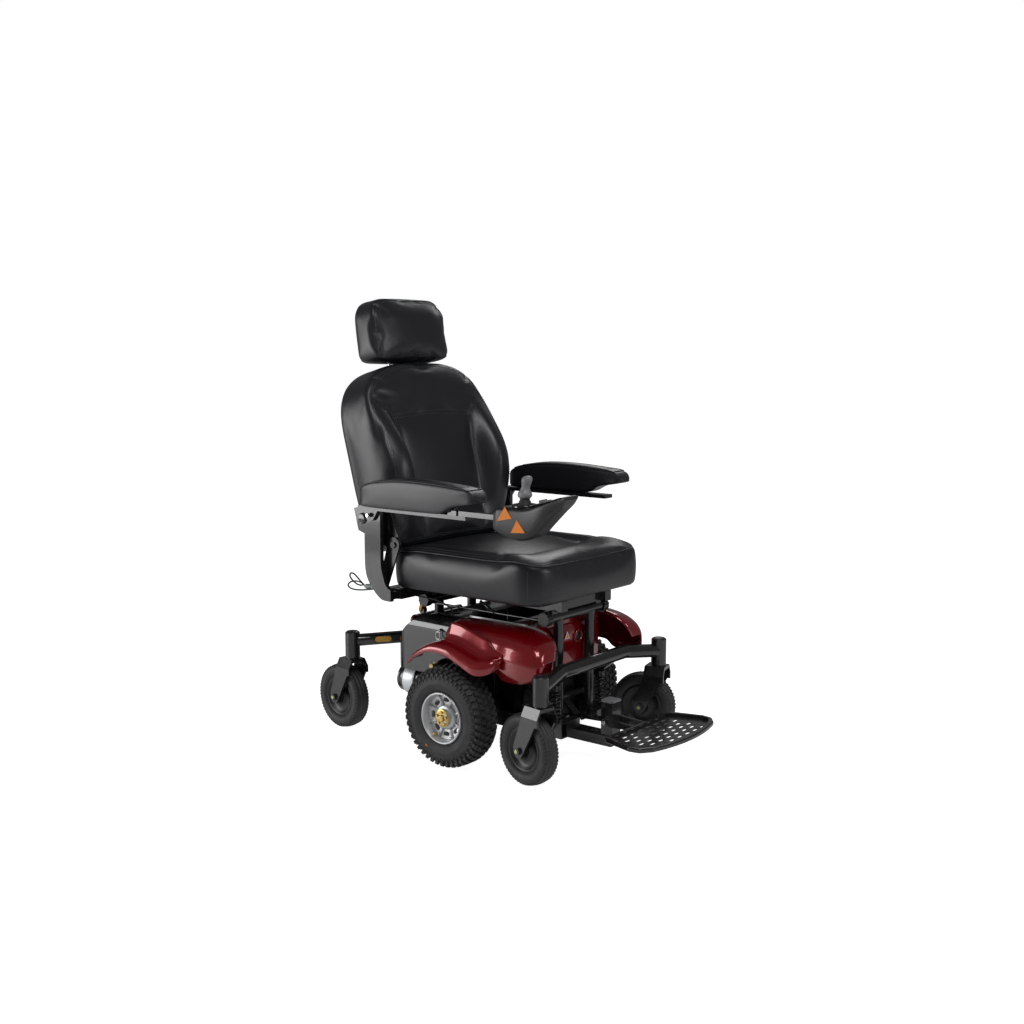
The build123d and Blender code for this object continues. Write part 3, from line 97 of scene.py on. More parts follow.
LEAD_ROUTE = [
    (-130.0, 98.0, 349.0), (-131.0, 108.0, 365.0), (-134.0, 130.0, 379.0), (-138.0, 165.0, 389.0),
    (-146.0, 203.0, 392.0), (-162.0, 238.0, 398.0), (-182.0, 268.0, 406.0), (-194.0, 281.0, 413.0),
    (-203.0, 294.0, 417.0), (-205.0, 314.0, 416.5), (-207.0, 336.0, 414.0), (-209.0, 358.0, 412.0),
    (-213.0, 368.0, 423.0), (-217.0, 378.0, 435.0), (-220.0, 388.0, 445.0), (-223.0, 398.0, 447.0),
    (-225.0, 401.0, 439.0), (-225.0, 394.0, 430.0), (-224.0, 383.0, 422.0), (-221.0, 373.0, 416.5),
    (-214.0, 367.0, 414.0), (-205.0, 368.0, 414.5), (-199.0, 376.0, 416.5), (-197.0, 391.0, 419.0),
    (-198.0, 408.0, 419.5), (-200.0, 423.0, 416.0), (-203.0, 431.0, 408.5), (-206.0, 425.0, 401.5),
    (-209.0, 409.0, 398.5), (-212.0, 388.0, 399.0), (-215.0, 362.0, 402.0), (-217.0, 334.0, 407.0),
    (-218.0, 303.0, 413.0), (-218.0, 268.0, 413.0),
]
PLUG_START, PLUG_END = 8, 11


# ---------------------------------------------------------------- settings
class CushionSettings(bpy.types.PropertyGroup):
    pressure: FloatProperty(name="Pressure", description="Cloth pressure in the covers", default=4.0)
    frames: IntProperty(name="Frames", description="Cloth frames to settle", default=20)
    cap: FloatProperty(
        name="Cap", description="Furthest a cover may swell", default=0.014, subtype="DISTANCE", unit="LENGTH"
    )


class StitchSettings(bpy.types.PropertyGroup):
    pitch: FloatProperty(
        name="Pitch", description="Stitch to stitch", default=0.0072, subtype="DISTANCE", unit="LENGTH"
    )
    length: FloatProperty(
        name="Length", description="Length of one stitch", default=0.0052, subtype="DISTANCE", unit="LENGTH"
    )
    thread: FloatProperty(
        name="Thread", description="Thread radius", default=0.0007, subtype="DISTANCE", unit="LENGTH"
    )


class TyreSettings(bpy.types.PropertyGroup):
    drive_blocks: IntProperty(name="Drive blocks", description="Tread blocks round a drive tyre", default=44)
    caster_blocks: IntProperty(name="Caster lugs", description="Side lugs round a caster tyre", default=56)


class CoverSettings(bpy.types.PropertyGroup):
    lip: FloatProperty(
        name="Fender lip", description="Fender edge from the middle", default=0.291, subtype="DISTANCE",
        unit="LENGTH"
    )


class LeadSettings(bpy.types.PropertyGroup):
    diameter: FloatProperty(
        name="Lead", description="Diameter of the joystick lead", default=0.0045, subtype="DISTANCE",
        unit="LENGTH"
    )


class StageSettings(bpy.types.PropertyGroup):
    floor: FloatProperty(
        name="Floor", description="Width of the floor", default=24.0, subtype="DISTANCE", unit="LENGTH"
    )
    key: FloatProperty(name="Key light", description="Power of the key light", default=150.0)


# ---------------------------------------------------------------- mesh tools
class Soup:
    """Collects vertices (in mm) and faces of many small forms for one mesh."""

    def __init__(self):
        self.verts = []
        self.faces = []

    def add(self, verts, faces):
        start = len(self.verts)
        self.verts.extend(Vector(v) for v in verts)
        self.faces.extend([start + i for i in face] for face in faces)

    def grid(self, rows, close_rows=False, close_columns=False):
        """Skin over rows of points."""
        n, m = len(rows), len(rows[0])
        faces = []
        for i in range(n if close_rows else n - 1):
            for j in range(m if close_columns else m - 1):
                k, l = (i + 1) % n, (j + 1) % m
                faces.append((i * m + j, i * m + l, k * m + l, k * m + j))
        self.add([p for row in rows for p in row], faces)

    def lathe(self, profile, place, steps=64):
        """Turn (radius, along) points about the local X axis of place."""
        rows = []
        for i in range(steps):
            t = 2 * math.pi * i / steps
            rows.append([place @ Vector((x, r * math.cos(t), r * math.sin(t))) for r, x in profile])
        self.grid(rows, close_rows=True)

    def tube(self, points, radius, sides=8, closed=False, caps=True):
        points = [Vector(p) for p in points]
        n = len(points)
        rows = []
        side = None
        for i, p in enumerate(points):
            before = points[i - 1] if i or closed else p
            after = points[(i + 1) % n] if i < n - 1 or closed else p
            along = (after - before).normalized()
            if side is None:
                side = along.orthogonal()
            side = (side - along * side.dot(along)).normalized()
            other = along.cross(side)
            r = radius(i / max(1, n - 1)) if callable(radius) else radius
            angles = [2 * math.pi * k / sides for k in range(sides)]
            rows.append([p + (side * math.cos(t) + other * math.sin(t)) * r for t in angles])
        start = len(self.verts)
        self.grid(rows, close_rows=closed, close_columns=True)
        if caps and not closed:
            last = start + (n - 1) * sides
            self.faces.append([start + k for k in range(sides)][::-1])
            self.faces.append([last + k for k in range(sides)])

    def prism(self, outline, place, depth, taper=1.0):
        """Flat outline in local X and Y, pushed out along local Z, with a narrower top."""
        n = len(outline)
        low = [place @ Vector((x, y, 0)) for x, y in outline]
        high = [place @ Vector((x * taper, y * taper, depth)) for x, y in outline]
        faces = [list(range(n))[::-1], [n + i for i in range(n)]]
        faces += [(i, (i + 1) % n, n + (i + 1) % n, n + i) for i in range(n)]
        self.add(low + high, faces)

    def object(self, name, material, smooth=True, bevel=0.0, sub=0):
        mesh = bpy.data.meshes.new(name)
        mesh.from_pydata([tuple(v * MM) for v in self.verts], [], self.faces)
        mesh.update()
        if smooth:
            mesh.shade_smooth()
        mesh.materials.append(material)
        obj = bpy.data.objects.new(name, mesh)
        bpy.context.scene.collection.objects.link(obj)
        if bevel:
            mod = obj.modifiers.new("bevel", "BEVEL")
            mod.width = bevel * MM
            mod.segments = 2
            mod.limit_method = "ANGLE"
            mod.harden_normals = True
        if sub:
            mod = obj.modifiers.new("smooth", "SUBSURF")
            mod.levels = sub
            mod.render_levels = sub
        return obj


def frame_at(origin, x_axis, y_axis):
    """Matrix with this origin and these local X and Y directions."""
    x = Vector(x_axis).normalized()
    z = x.cross(Vector(y_axis)).normalized()
    y = z.cross(x)
    m = Matrix((x, y, z)).transposed().to_4x4()
    m.translation = Vector(origin)
    return m


def ring(radius, sides, turn=0.0):
    angles = [turn + 2 * math.pi * i / sides for i in range(sides)]
    return [(radius * math.cos(t), radius * math.sin(t)) for t in angles]


def plate(length, width, corner=3.0):
    """Rounded rectangle as a list of points."""
    out = []
    for sx, sy, a in ((1, 1, 0), (-1, 1, 90), (-1, -1, 180), (1, -1, 270)):
        for i in range(5):
            t = math.radians(a + i * 22.5)
            out.append(
                (
                    sx * (length / 2 - corner) + corner * math.cos(t),
                    sy * (width / 2 - corner) + corner * math.sin(t)
                )
            )
    return out


def smooth(t):
    t = min(1.0, max(0.0, t))
    return t * t * (3 - 2 * t)


def through(points, t):
    """Value at t on a curve through sorted (t, value) pairs, with no flat steps."""
    n = len(points)
    if t <= points[0][0]:
        return points[0][1]
    if t >= points[-1][0]:
        return points[-1][1]
    i = max(k for k in range(n - 1) if points[k][0] <= t)
    (t0, v0), (t1, v1) = points[i], points[i + 1]

    def slope(k):
        a, b = points[max(0, k - 1)], points[min(n - 1, k + 1)]
        return (b[1] - a[1]) / (b[0] - a[0])

    h = t1 - t0
    u = (t - t0) / h
    a, b = slope(i) * h, slope(i + 1) * h
    return (
        v0 * (2 * u**3 - 3 * u**2 + 1) + a * (u**3 - 2 * u**2 + u)
        + v1 * (3 * u**2 - 2 * u**3) + b * (u**3 - u**2)
    )


def line_distance(x, y, path):
    """Distance from a point to a flat polyline."""
    best = 1e9
    for (ax, ay), (bx, by) in zip(path, path[1:]):
        dx, dy = bx - ax, by - ay
        u = min(1.0, max(0.0, ((x - ax) * dx + (y - ay) * dy) / (dx * dx + dy * dy)))
        best = min(best, math.hypot(x - ax - u * dx, y - ay - u * dy))
    return best


def put(obj, body, replaces=()):
    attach(obj, body)
    if replaces:
        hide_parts(*replaces)
    return obj


# ---------------------------------------------------------------- materials
def group(name, inputs, outputs, build):
    """A shared node group with its own inputs and outputs."""
    if name in bpy.data.node_groups:
        return bpy.data.node_groups[name]
    tree = bpy.data.node_groups.new(name, "ShaderNodeTree")
    for label, kind, default in inputs:
        socket = tree.interface.new_socket(label, in_out="INPUT", socket_type=kind)
        if default is not None:
            socket.default_value = default
    for label, kind in outputs:
        tree.interface.new_socket(label, in_out="OUTPUT", socket_type=kind)
    build(tree, tree.nodes.new("NodeGroupInput"), tree.nodes.new("NodeGroupOutput"))
    return tree


def math_node(tree, operation, a, b, clamp=False):
    node = tree.nodes.new("ShaderNodeMath")
    node.operation = operation
    node.use_clamp = clamp
    for i, value in enumerate((a, b)):
        if isinstance(value, (int, float)):
            node.inputs[i].default_value = value
        else:
            tree.links.new(value, node.inputs[i])
    return node.outputs[0]


def grain_group():
    def build(tree, start, end):
        cells = tree.nodes.new("ShaderNodeTexVoronoi")
        cells.feature = "DISTANCE_TO_EDGE"
        noise = tree.nodes.new("ShaderNodeTexNoise")
        noise.inputs["Detail"].default_value = 4.0
        for node in (cells, noise):
            tree.links.new(start.outputs["Vector"], node.inputs["Vector"])
            tree.links.new(start.outputs["Scale"], node.inputs["Scale"])
        edge = math_node(tree, "MULTIPLY", cells.outputs["Distance"], 2.4, True)
        mixed = math_node(tree, "MULTIPLY", edge, start.outputs["Cells"])
        rest = math_node(tree, "ADD", mixed, math_node(tree, "MULTIPLY", noise.outputs["Fac"], 0.5))
        tree.links.new(rest, end.inputs["Height"])

    return group(
        "Fine grain",
        [
            ("Vector", "NodeSocketVector", None), ("Scale", "NodeSocketFloat", 600.0),
            ("Cells", "NodeSocketFloat", 0.5)
        ],
        [("Height", "NodeSocketFloat")], build,
    )


def wear_group():
    def build(tree, start, end):
        broad = tree.nodes.new("ShaderNodeTexNoise")
        broad.inputs["Scale"].default_value = 9.0
        broad.inputs["Detail"].default_value = 6.0
        fine = tree.nodes.new("ShaderNodeTexNoise")
        fine.inputs["Scale"].default_value = 140.0
        for node in (broad, fine):
            tree.links.new(start.outputs["Vector"], node.inputs["Vector"])
        both = math_node(
            tree, "ADD", broad.outputs["Fac"], math_node(tree, "MULTIPLY", fine.outputs["Fac"], 0.35)
        )
        centred = math_node(tree, "SUBTRACT", both, 0.68)
        change = math_node(tree, "MULTIPLY", centred, start.outputs["Amount"])
        out = math_node(tree, "ADD", start.outputs["Roughness"], change, True)
        tree.links.new(out, end.inputs["Roughness"])

    return group(
        "Handling wear",
        [
            ("Vector", "NodeSocketVector", None), ("Roughness", "NodeSocketFloat", 0.4),
            ("Amount", "NodeSocketFloat", 0.2)
        ],
        [("Roughness", "NodeSocketFloat")], build,
    )


def dust_group():
    def build(tree, start, end):
        noise = tree.nodes.new("ShaderNodeTexNoise")
        noise.inputs["Scale"].default_value = 26.0
        noise.inputs["Detail"].default_value = 8.0
        tree.links.new(start.outputs["Vector"], noise.inputs["Vector"])
        split = tree.nodes.new("ShaderNodeSeparateXYZ")
        tree.links.new(start.outputs["Vector"], split.inputs[0])
        low = math_node(tree, "SUBTRACT", 0.34, split.outputs["Z"])
        low = math_node(tree, "MULTIPLY", low, 3.0, True)
        patch = math_node(
            tree, "MULTIPLY", math_node(tree, "SUBTRACT", noise.outputs["Fac"], 0.38), 3.0, True
        )
        share = math_node(tree, "MULTIPLY", low, patch)
        share = math_node(tree, "MULTIPLY", share, start.outputs["Amount"], True)
        mix = tree.nodes.new("ShaderNodeMix")
        mix.data_type = "RGBA"
        tree.links.new(share, mix.inputs["Factor"])
        tree.links.new(start.outputs["Color"], mix.inputs[6])
        mix.inputs[7].default_value = (0.33, 0.31, 0.28, 1)
        tree.links.new(mix.outputs[2], end.inputs["Color"])

    return group(
        "Floor dust",
        [
            ("Vector", "NodeSocketVector", None), ("Color", "NodeSocketColor", (0.1, 0.1, 0.1, 1)),
            ("Amount", "NodeSocketFloat", 0.3)
        ],
        [("Color", "NodeSocketColor")], build,
    )


def weave_group():
    def build(tree, start, end):
        split = tree.nodes.new("ShaderNodeSeparateXYZ")
        tree.links.new(start.outputs["Vector"], split.inputs[0])
        waves = []
        for axis in ("X", "Z"):
            turned = math_node(tree, "MULTIPLY", split.outputs[axis], start.outputs["Scale"])
            waves.append(math_node(tree, "SINE", turned, 0.0))
        both = math_node(tree, "MULTIPLY", waves[0], waves[1])
        tree.links.new(both, end.inputs["Height"])

    return group(
        "Thread weave",
        [("Vector", "NodeSocketVector", None), ("Scale", "NodeSocketFloat", 4000.0)],
        [("Height", "NodeSocketFloat")], build,
    )


def material(name, color, rough, metallic=0.0, grain=900.0, bump=0.05, cells=0.2, coat=0.0, wear=0.15,
             dust=0.0, mottle=0.0, weave=False):
    """Procedural material: colour, grain relief, handling wear, floor dust and an optional clear coat."""
    if name in bpy.data.materials:
        return bpy.data.materials[name]
    mat = bpy.data.materials.new(name)
    mat.use_nodes = True
    tree = mat.node_tree
    shader = tree.nodes["Principled BSDF"]
    place = tree.nodes.new("ShaderNodeTexCoord").outputs["Object"]
    shader.inputs["Metallic"].default_value = metallic
    shader.inputs["Coat Weight"].default_value = coat
    shader.inputs["Coat Roughness"].default_value = 0.04
    worn = tree.nodes.new("ShaderNodeGroup")
    worn.node_tree = wear_group()
    tree.links.new(place, worn.inputs["Vector"])
    worn.inputs["Roughness"].default_value = rough
    worn.inputs["Amount"].default_value = wear
    tree.links.new(worn.outputs[0], shader.inputs["Roughness"])
    relief = tree.nodes.new("ShaderNodeGroup")
    relief.node_tree = weave_group() if weave else grain_group()
    tree.links.new(place, relief.inputs["Vector"])
    relief.inputs["Scale"].default_value = grain
    if not weave:
        relief.inputs["Cells"].default_value = cells
    raised = tree.nodes.new("ShaderNodeBump")
    raised.inputs["Strength"].default_value = bump
    raised.inputs["Distance"].default_value = 0.0006
    tree.links.new(relief.outputs[0], raised.inputs["Height"])
    tree.links.new(raised.outputs[0], shader.inputs["Normal"])
    base = None
    if mottle:
        noise = tree.nodes.new("ShaderNodeTexNoise")
        noise.inputs["Scale"].default_value = 5.0
        noise.inputs["Detail"].default_value = 5.0
        tree.links.new(place, noise.inputs["Vector"])
        mix = tree.nodes.new("ShaderNodeMix")
        mix.data_type = "RGBA"
        mix.inputs[6].default_value = (*color, 1)
        mix.inputs[7].default_value = (*[c * (1 + mottle) for c in color], 1)
        tree.links.new(noise.outputs["Fac"], mix.inputs["Factor"])
        base = mix.outputs[2]
    if dust:
        dusty = tree.nodes.new("ShaderNodeGroup")
        dusty.node_tree = dust_group()
        tree.links.new(place, dusty.inputs["Vector"])
        dusty.inputs["Amount"].default_value = dust
        if base:
            tree.links.new(base, dusty.inputs["Color"])
        else:
            dusty.inputs["Color"].default_value = (*color, 1)
        base = dusty.outputs[0]
    if base:
        tree.links.new(base, shader.inputs["Base Color"])
    else:
        shader.inputs["Base Color"].default_value = (*color, 1)
    return mat


def looks():
    """Every finish on the chair, by name."""
    return {
        "vinyl": material("vinyl", (0.010, 0.0105, 0.013), 0.34, grain=520, bump=0.16, cells=0.9, wear=0.2,
                          mottle=0.25),
        "thread": material("thread", (0.045, 0.055, 0.058), 0.6, grain=5000, bump=0.3, weave=True),
        "red": material("red", (
            0.20, 0.0012, 0.0045
        ), 0.2, grain=2600, bump=0.012, coat=1.0, wear=0.06, mottle=0.3,
                        metallic=0.35),
        "dark_red": material("dark_red", (0.11, 0.002, 0.008), 0.3, grain=2000, bump=0.02, coat=0.8),
        "black_paint": material("black_paint", (
            0.008, 0.008, 0.009
        ), 0.2, grain=1300, bump=0.05, coat=0.5, wear=0.14,
                                dust=0.05, mottle=0.4),
        "black_plastic": material("black_plastic", (
            0.010, 0.010, 0.011
        ), 0.34, grain=1700, bump=0.1, cells=0.6,
                                  wear=0.2, mottle=0.3),
        "gloss_black": material("gloss_black", (0.008, 0.008, 0.009), 0.13, grain=1700, bump=0.02, coat=0.6),
        "tyre": material("tyre", (
            0.016, 0.0165, 0.0175
        ), 0.62, grain=1500, bump=0.2, cells=0.6, wear=0.2, dust=0.10,
                         mottle=0.5),
        "caster_rubber": material("caster_rubber", (
            0.017, 0.0175, 0.018
        ), 0.55, grain=1500, bump=0.16, cells=0.5,
                                  wear=0.2, dust=0.08, mottle=0.5),
        "cast_silver": material("cast_silver", (0.62, 0.63, 0.64), 0.33, metallic=0.55, grain=1100, bump=0.22,
                                cells=0.5, wear=0.3, mottle=-0.18),
        "gold": material("gold", (0.56, 0.40, 0.14), 0.3, metallic=1.0, grain=1500, bump=0.08, wear=0.3),
        "zinc": material("zinc", (0.50, 0.50, 0.24), 0.28, metallic=1.0, grain=1700, bump=0.08, wear=0.3),
        "steel": material("steel", (0.60, 0.60, 0.61), 0.26, metallic=1.0, grain=2400, bump=0.05, wear=0.35),
        "chrome": material("chrome", (0.8, 0.8, 0.81), 0.08, metallic=1.0, grain=2400, bump=0.01, wear=0.08),
        # silver of the motor bands; also the colour of the painted highlight line on each hood's top edge
        "band": material("band", (0.74, 0.76, 0.78), 0.3, metallic=0.3, grain=1500, bump=0.03),
        "stick_grey": material("stick_grey", (0.045, 0.047, 0.052), 0.42, grain=1900, bump=0.1, cells=0.7),
        "key_grey": material("key_grey", (0.20, 0.205, 0.215), 0.4, grain=1900, bump=0.06, cells=0.7),
        "boot": material("boot", (0.011, 0.011, 0.012), 0.55, grain=1500, bump=0.12),
        "yellow": material("yellow", (0.78, 0.40, 0.004), 0.3, grain=900, bump=0.25, cells=1.0, coat=0.5),
        "orange": material("orange", (0.74, 0.20, 0.001), 0.5, grain=900, bump=0.2, cells=1.0),
        "lead": material("lead", (0.012, 0.012, 0.013), 0.42, grain=2600, bump=0.06),
        "plug_grey": material("plug_grey", (0.27, 0.30, 0.31), 0.45, grain=1500, bump=0.08),
        "white": material("white", (0.8, 0.8, 0.79), 0.45, grain=1500, bump=0.05),
        "brass": material("brass", (0.42, 0.33, 0.17), 0.35, metallic=1.0, grain=1200, bump=0.2, wear=0.4),
    }


# ---------------------------------------------------------------- soft pieces
def round_block(a, b, c, half, thick, corner, edges):
    """Where a point of the unit cube goes on a block with rounded corners and edges."""
    m = max(abs(a), abs(b))
    inward = (1 - m) * min(half)
    depth = (1 - abs(c)) * thick / 2
    r = edges[1] if c > 0 else edges[0]
    if inward < r and depth < r:
        p, q = r - inward, r - depth
        k = max(p, q) / math.hypot(p, q)
        inward, depth = r - p * k, r - q * k
    scale = (1 - inward / min(half)) / m if m > 1e-9 else 1.0
    x, y = corner(a * scale * half[0], b * scale * half[1])
    return x, y, thick - depth if c > 0 else depth, inward


def corner_round(x, y, half, radius, power=2.0):
    dx, dy = abs(x) - (half[0] - radius[0]), abs(y) - (half[1] - radius[1])
    if dx > 0 and dy > 0:
        p, q = dx / radius[0], dy / radius[1]
        k = max(p, q) / (p**power + q**power) ** (1 / power)
        x = math.copysign(half[0] - radius[0] + dx * k, x)
        y = math.copysign(half[1] - radius[1] + dy * k, y)
    return x, y


def spread(n, pull=0.85):
    """n + 1 values from -1 to 1, closer together near the ends."""
    top = math.sin(math.pi / 2 * pull)
    return [math.sin(math.pi / 2 * pull * (2 * i / n - 1)) / top for i in range(n + 1)]


def cube_skin(counts, place):
    """Vertices and faces of a subdivided cube's surface, each point moved by place."""
    axes = [spread(n) for n in counts]
    index, verts, faces = {}, [], []

    def vertex(key):
        if key not in index:
            index[key] = len(verts)
            verts.append(place(*(axes[d][key[d]] for d in range(3))))
        return index[key]

    for fixed in range(3):
        u, v = (fixed + 1) % 3, (fixed + 2) % 3
        for end in (0, counts[fixed]):
            for i in range(counts[u]):
                for j in range(counts[v]):
                    corners = []
                    for di, dj in ((0, 0), (1, 0), (1, 1), (0, 1)):
                        key = [0, 0, 0]
                        key[fixed], key[u], key[v] = end, i + di, j + dj
                        corners.append(vertex(tuple(key)))
                    faces.append(corners if end else corners[::-1])
    return verts, faces


def settle(obj, pinned, settings, pressure=1.0):
    """Swell the cover as cloth under pressure, held along its seams, and keep the settled form."""
    scene = bpy.context.scene
    rest = [v.co.copy() for v in obj.data.vertices]
    held = obj.vertex_groups.new(name="held")
    for i, weight in enumerate(pinned):
        if weight > 0:
            held.add([i], weight, "REPLACE")
    cloth = obj.modifiers.new("cover", "CLOTH")
    s = cloth.settings
    s.quality = 4
    s.mass = 0.25
    s.tension_stiffness = s.compression_stiffness = 14
    s.shear_stiffness = 6
    s.bending_stiffness = 0.6
    s.use_pressure = True
    s.uniform_pressure_force = settings.pressure * pressure
    s.vertex_group_mass = "held"
    s.effector_weights.gravity = 0
    cloth.collision_settings.use_collision = False
    cloth.point_cache.frame_start = 1
    cloth.point_cache.frame_end = settings.frames
    for f in range(1, settings.frames + 1):
        scene.frame_set(f)
    graph = bpy.context.evaluated_depsgraph_get()
    settled = [v.co.copy() for v in obj.evaluated_get(graph).data.vertices]
    obj.modifiers.remove(cloth)
    for v, a, b in zip(obj.data.vertices, rest, settled):
        move = b - a
        if move.length > settings.cap:
            move *= settings.cap / move.length
        v.co = a + move
    obj.data.update()
    scene.frame_set(1)


def soft_piece(name, counts, place, hold, mat, settings, pressure=1.0):
    verts, faces = cube_skin(counts, place)
    soup = Soup()
    soup.add(verts, faces)
    obj = soup.object(name, mat)
    settle(obj, [hold(v) for v in verts], settings, pressure)
    mod = obj.modifiers.new("smooth", "SUBSURF")
    mod.levels = mod.render_levels = 1
    return obj


def surface_of(obj):
    bpy.context.view_layer.update()
    return BVHTree.FromObject(obj, bpy.context.evaluated_depsgraph_get())


def stitch_row(soup, tree, path, settings, closed=False):
    """Short raised stitches along a path in mm, each end sunk into the cover."""
    path = [Vector(p) for p in path]
    if closed:
        path.append(path[0])
    lengths = [0.0]
    for p, q in zip(path, path[1:]):
        lengths.append(lengths[-1] + (q - p).length)

    def at(s):
        for i in range(len(path) - 1):
            if s <= lengths[i + 1]:
                return path[i].lerp(path[i + 1], (s - lengths[i]) / max(1e-6, lengths[i + 1] - lengths[i]))
        return path[-1]

    pitch, length, thread = settings.pitch / MM, settings.length / MM, settings.thread / MM
    s = 0.0
    while s + length < lengths[-1]:
        dots = []
        for u, lift in ((0, -0.5), (0.25, 0.45), (0.75, 0.45), (1, -0.5)):
            near = tree.find_nearest(at(s + u * length) * MM)
            if near[0] is None:
                break
            dots.append(near[0] / MM + near[1] * lift * thread / 0.7)
        if len(dots) == 4:
            soup.tube(dots, thread, sides=5)
        s += pitch


def welt(soup, tree, path, radius, sink=0.3, closed=True):
    """A round cord of vinyl sewn in along a path."""
    dots = []
    for p in path:
        near = tree.find_nearest(Vector(p) * MM)
        dots.append(near[0] / MM + near[1] * radius * (1 - 2 * sink))
    soup.tube(dots, radius, sides=8, closed=closed)


def around(place, inward, least, c=1.0, steps=60):
    """Points round a cushion's face at a distance in from its outline."""
    m = 1 - inward / least
    out = []
    for sx, sy, tx, ty in ((-1, -1, 1, 0), (1, -1, 0, 1), (1, 1, -1, 0), (-1, 1, 0, -1)):
        for i in range(steps):
            u = 2 * i / steps
            out.append(place((sx + tx * u) * m, (sy + ty * u) * m, c))
    return out


# seat: flat border, raised sides, a roll across the front
SEAT_HALF = (233.0, 250.0)
SEAT_MID = (0.0, -1.5)
SEAT_BASE, SEAT_THICK = 429.0, 98.0
SEAT_SEAMS = [
    [(-158, -105), (-60, -122), (60, -122), (158, -105)],
    [(158, -105), (168, 20), (160, 236)],
    [(-158, -105), (-168, 20), (-160, 236)],
    [(158, -105), (226, -128)],
    [(-158, -105), (-226, -128)],
]


def seat_place(a, b, c):
    def corner(x, y):
        return corner_round(x, y, SEAT_HALF, (64, 64))

    x, y, h, inward = round_block(a, b, c, SEAT_HALF, SEAT_THICK, corner, (12, 11))
    share = smooth(h / SEAT_THICK)
    side = 15 * math.exp(-(((abs(x) - 192) / 36) ** 2)) * smooth((y + 225) / 130) * smooth((260 - y) / 150)
    front = 9 * math.exp(-(((y + 178) / 48) ** 2))
    crown = 7 * smooth(inward / 40) + side + front - 3 * smooth((y - 120) / 120)
    if c > 0 and inward > 14:
        near = min(line_distance(x, y, s) for s in SEAT_SEAMS)
        crown -= 6 * math.exp(-((near / 6) ** 2))
    belly = 3.5 * math.sin(math.pi * min(1, h / SEAT_THICK)) * (1 - smooth(inward / 12))
    reach = 1 + belly / 235
    return Vector((x * reach, y * reach + SEAT_MID[1], SEAT_BASE + h + crown * share))


def seat_hold(v):
    x, y, z = v.x, v.y - SEAT_MID[1], v.z
    if z < SEAT_BASE + 14:
        return 1.0
    q = corner_round(x, y, SEAT_HALF, (64, 64))
    near = min(line_distance(q[0], q[1], s) for s in SEAT_SEAMS)
    if z > SEAT_BASE + 60 and near < 6 and max(abs(x) / 233, abs(y) / 250) < 0.97:
        return 1.0
    return 0.0


# back: local x across, y up the lean, z out to the front
BACK_HALF = (244.0, 250.0)
BACK_MID, BACK_THICK = 242.0, 112.0
BACK_PANEL = [(150, 338), (138, 200), (129, 90), (127, 18)]
BACK_SEAMS = [
    [(-150, 338), (-60, 345), (60, 345), (150, 338)],
    BACK_PANEL,
    [(-x, y) for x, y in BACK_PANEL],
    [(150, 338), (196, 372), (222, 402)],
    [(-150, 338), (-196, 372), (-222, 402)],
]


def back_local(a, b, c):
    def corner(x, y):
        if y > 0:
            return corner_round(x, y, BACK_HALF, (226, 188), 2.75)
        return corner_round(x, y, BACK_HALF, (44, 44))

    x, y, h, inward = round_block(a, b, c, BACK_HALF, BACK_THICK, corner, (14, 15))
    y += BACK_MID
    x *= 1 - 0.035 * smooth((170 - y) / 156)
    panel = through([(18, 127), (90, 129), (200, 138), (338, 150), (420, 165)], y)
    wing = smooth((abs(x) - panel - 3) / 42) * (1 - 0.14 * smooth((abs(x) - 208) / 30))
    swell = 58 * wing * math.sin(math.pi * smooth((y - 6) / 400)) ** 0.8 if 6 < y < 406 else 0.0
    crown = 7 * smooth(inward / 60) - 5 * math.exp(-(((y - 215) / 90) ** 2)) * smooth((110 - abs(x)) / 80)
    top = 4 * smooth((y - 350) / 60) * smooth(inward / 40)
    dip = 0.0
    if c > 0 and inward > 12:
        near = min(line_distance(x, y, s) for s in BACK_SEAMS)
        dip = 8 * math.exp(-((near / 5.5) ** 2))
    share = smooth(h / BACK_THICK)
    return Vector((x, y, h - BACK_THICK - 4 + (swell + crown + top - dip) * share))


def back_place(a, b, c):
    p = back_local(a, b, c)
    return BACK_ORIGIN + Vector((1, 0, 0)) * p.x + BACK_UP * p.y + BACK_FRONT * p.z


def back_hold(v):
    d = v - BACK_ORIGIN
    x, y, z = d.x, d.dot(BACK_UP), d.dot(BACK_FRONT)
    if z < -BACK_THICK + 26:
        return 1.0
    near = min(line_distance(x, y, s) for s in BACK_SEAMS)
    return 1.0 if near < 7 and z > -40 else 0.0


# headrest
HEAD_HALF = (146.0, 86.0)
HEAD_THICK = 90.0
HEAD_ORIGIN = Vector((0, 397.2, 1016.7))
HEAD_UP = Vector((0, math.sin(HEAD_TILT), math.cos(HEAD_TILT)))
HEAD_FRONT = Vector((0, -math.cos(HEAD_TILT), math.sin(HEAD_TILT)))


def head_place(a, b, c):
    def corner(x, y):
        radius = (64, 56) if y > 0 else (32, 28)
        return corner_round(x, y, HEAD_HALF, radius, 2.2)

    x, y, h, inward = round_block(a, b, c, HEAD_HALF, HEAD_THICK, corner, (16, 12))
    x *= 1 - 0.02 * smooth((y + 20) / 100)
    share = smooth(h / HEAD_THICK)
    curve = 9 * smooth(inward / 50) - 6 * (x / 140) ** 2 * share
    sag = -9 * smooth((y - 30) / 50) * share
    z = h - HEAD_THICK / 2 + curve * share + sag
    return HEAD_ORIGIN + Vector((1, 0, 0)) * x + HEAD_UP * (y + 84) + HEAD_FRONT * z


def head_hold(v):
    d = v - HEAD_ORIGIN
    return 1.0 if d.dot(HEAD_FRONT) < -HEAD_THICK / 2 + 16 else 0.0


# arm pad
ARM_TOP = [(-146, 697), (-130, 711), (-100, 719), (80, 727), (200, 717), (252, 700), (267, 688)]
ARM_BASE = [(-146, 687), (-130, 683), (-62, 670), (-32, 654), (0, 651), (250, 651), (267, 658)]


